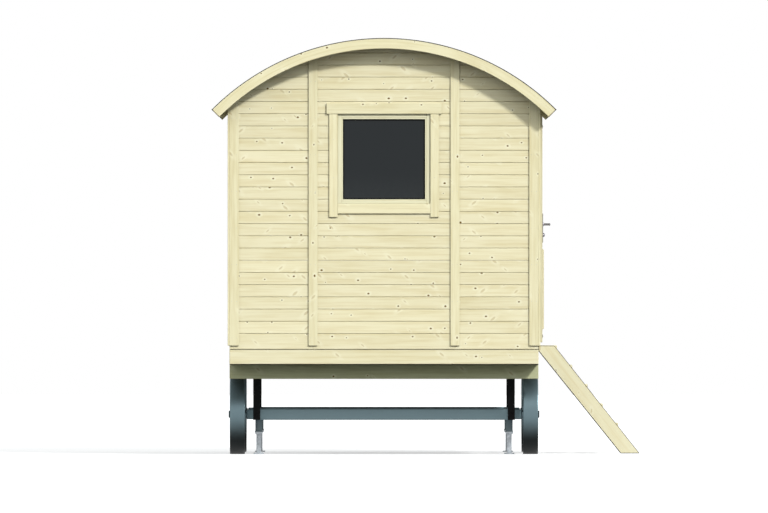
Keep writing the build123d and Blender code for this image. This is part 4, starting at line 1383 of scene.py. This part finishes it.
outline = [
    (Vector((0, 0, stringer_high.z)), UNITS[2]),
    (Vector((0, 0, stringer_low.z)), -UNITS[2]),
    (Vector((stringer_low.x, 0, 0)), -UNITS[0]),
    side_of(toe, top_front),
    side_of(heel, foot_back),
]
middle = (top_front + toe + heel + foot_back) / 4
slope = (toe - top_front).normalized()
across = UNITS[1].cross(slope)
turn = Matrix((slope, across, slope.cross(across))).transposed().to_4x4()
bm = bmesh.new()
for side in (-1, 1):
    y = side * (stringer_high.y - STRINGER_THICKNESS / 2)
    place = Matrix.Translation((middle.x, y, middle.z)) @ turn
    plank(bm, (*STRINGER_BLANK, STRINGER_THICKNESS), place, STEP_EASE, trims=outline)
piece("step_stringers_planed", bm, STEP_PINE, replaces=["step_stringers"])

# Treads
tread_low, tread_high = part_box("step_treads")
tread_depth = STRINGER_TOP_LENGTH + TREAD_NOSE
rise_each = (tread_high.z - tread_low.z - TREAD_THICKNESS) / (TREAD_COUNT - 1)
going = (tread_high.x - tread_low.x - tread_depth) / (TREAD_COUNT - 1)
bm = bmesh.new()
for number in range(TREAD_COUNT):
    top = tread_high.z - number * rise_each
    nose_x = tread_low.x + tread_depth + number * going
    low = Vector((nose_x - tread_depth, tread_low.y, top - TREAD_THICKNESS))
    size, place = laid(low, Vector((nose_x, tread_high.y, top)), ALONG_Y)
    part = block(size, place)
    # The rounded nose is left without painted edge shade
    ease(
        part,
        TREAD_NOSE_RADIUS,
        segments=4,
        where=lambda spot: spot.x > nose_x - END_GAP and abs(spot.y) < END_GAP,
        edge_shade_mark=0.0,
    )
    ease(part, TRIM_EASE, where=lambda spot: abs(spot.y) > tread_high.y - END_GAP)
    figure(part, place)
    join(bm, part)
piece("step_treads_planed", bm, TREAD_PINE, replaces=["step_treads"])


# Floor and light
def seen_directly(tree):
    """1 for rays from the camera and for what metal and glass show."""
    path = add(tree, "LightPath").outputs
    seen = calc(tree, "MAXIMUM", path["Is Camera Ray"], path["Is Glossy Ray"])
    return calc(tree, "MAXIMUM", seen, path["Is Transmission Ray"])


def grey(level):
    """An even grey."""
    return (level, level, level, 1)


bm = bmesh.new()
floor_place = Matrix.Translation((0, 0, -FLOOR_DROP))
bmesh.ops.create_grid(bm, x_segments=1, y_segments=1, size=FLOOR_HALF, matrix=floor_place)
mesh = bpy.data.meshes.new("floor")
bm.to_mesh(mesh)
bm.free()
floor = bpy.data.objects.new("floor", mesh)
bpy.context.scene.collection.objects.link(floor)

material, shader = blank("pale floor")
mesh.materials.append(material)
tree = material.node_tree
tree.nodes.remove(shader)
pale = add(tree, "BsdfDiffuse", {"Color": grey(FLOOR_SHOWN)})
lift = add(tree, "Emission", {"Color": grey(1), "Strength": FLOOR_LIFT})
shown = add(tree, "AddShader", {0: pale.outputs[0], 1: lift.outputs[0]})
bounce = add(tree, "BsdfDiffuse", {"Color": grey(FLOOR_BOUNCE)})
both = add(tree, "MixShader", {0: seen_directly(tree), 1: bounce.outputs[0], 2: shown.outputs[0]})
tree.links.new(both.outputs[0], tree.nodes["Material Output"].inputs[0])

world = bpy.data.worlds.new("white studio")
bpy.context.scene.world = world
world.use_nodes = True
tree = world.node_tree
fill = tree.nodes["Background"]
towards = add(tree, "SeparateXYZ", {0: add(tree, "TexCoord").outputs["Generated"]}).outputs[2]
fill.inputs["Color"].default_value = FILL_COLOUR
level = calc(tree, "MULTIPLY_ADD", rise(tree, towards, *FILL_BAND), FILL_BAND_GAIN, FILL_STRENGTH)
level = calc(tree, "MULTIPLY_ADD", rise(tree, towards, *FILL_OVERHEAD), FILL_OVERHEAD_GAIN, level)
tree.links.new(level, fill.inputs["Strength"])
white = add(tree, "Background", {"Color": grey(1), "Strength": 1.0})
both = add(tree, "MixShader", {0: seen_directly(tree), 1: fill.outputs[0], 2: white.outputs[0]})
tree.links.new(both.outputs[0], tree.nodes["World Output"].inputs[0])

sun = bpy.data.objects.new("sun", bpy.data.lights.new("sun", "SUN"))
sun.data.energy = SUN_STRENGTH
sun.data.angle = SUN_ANGLE
sun.rotation_euler = SUN_DIRECTION.to_track_quat("-Z", "Y").to_euler()
bpy.context.scene.collection.objects.link(sun)

# Camera: a long lens square to the window end
camera = bpy.data.objects.new("camera", bpy.data.cameras.new("camera"))
camera.data.lens = LENS_MM
camera.data.sensor_width = SENSOR_MM
camera.data.clip_end = CLIP_END
camera.location = (mid_x, PICTURE_PLANE_Y - PICTURE_WIDTH * LENS_MM / SENSOR_MM, CAMERA_HEIGHT)
camera.rotation_euler = (pi / 2, 0, 0)
bpy.context.scene.collection.objects.link(camera)
bpy.context.scene.camera = camera
bpy.context.scene.view_settings.view_transform = "Standard"
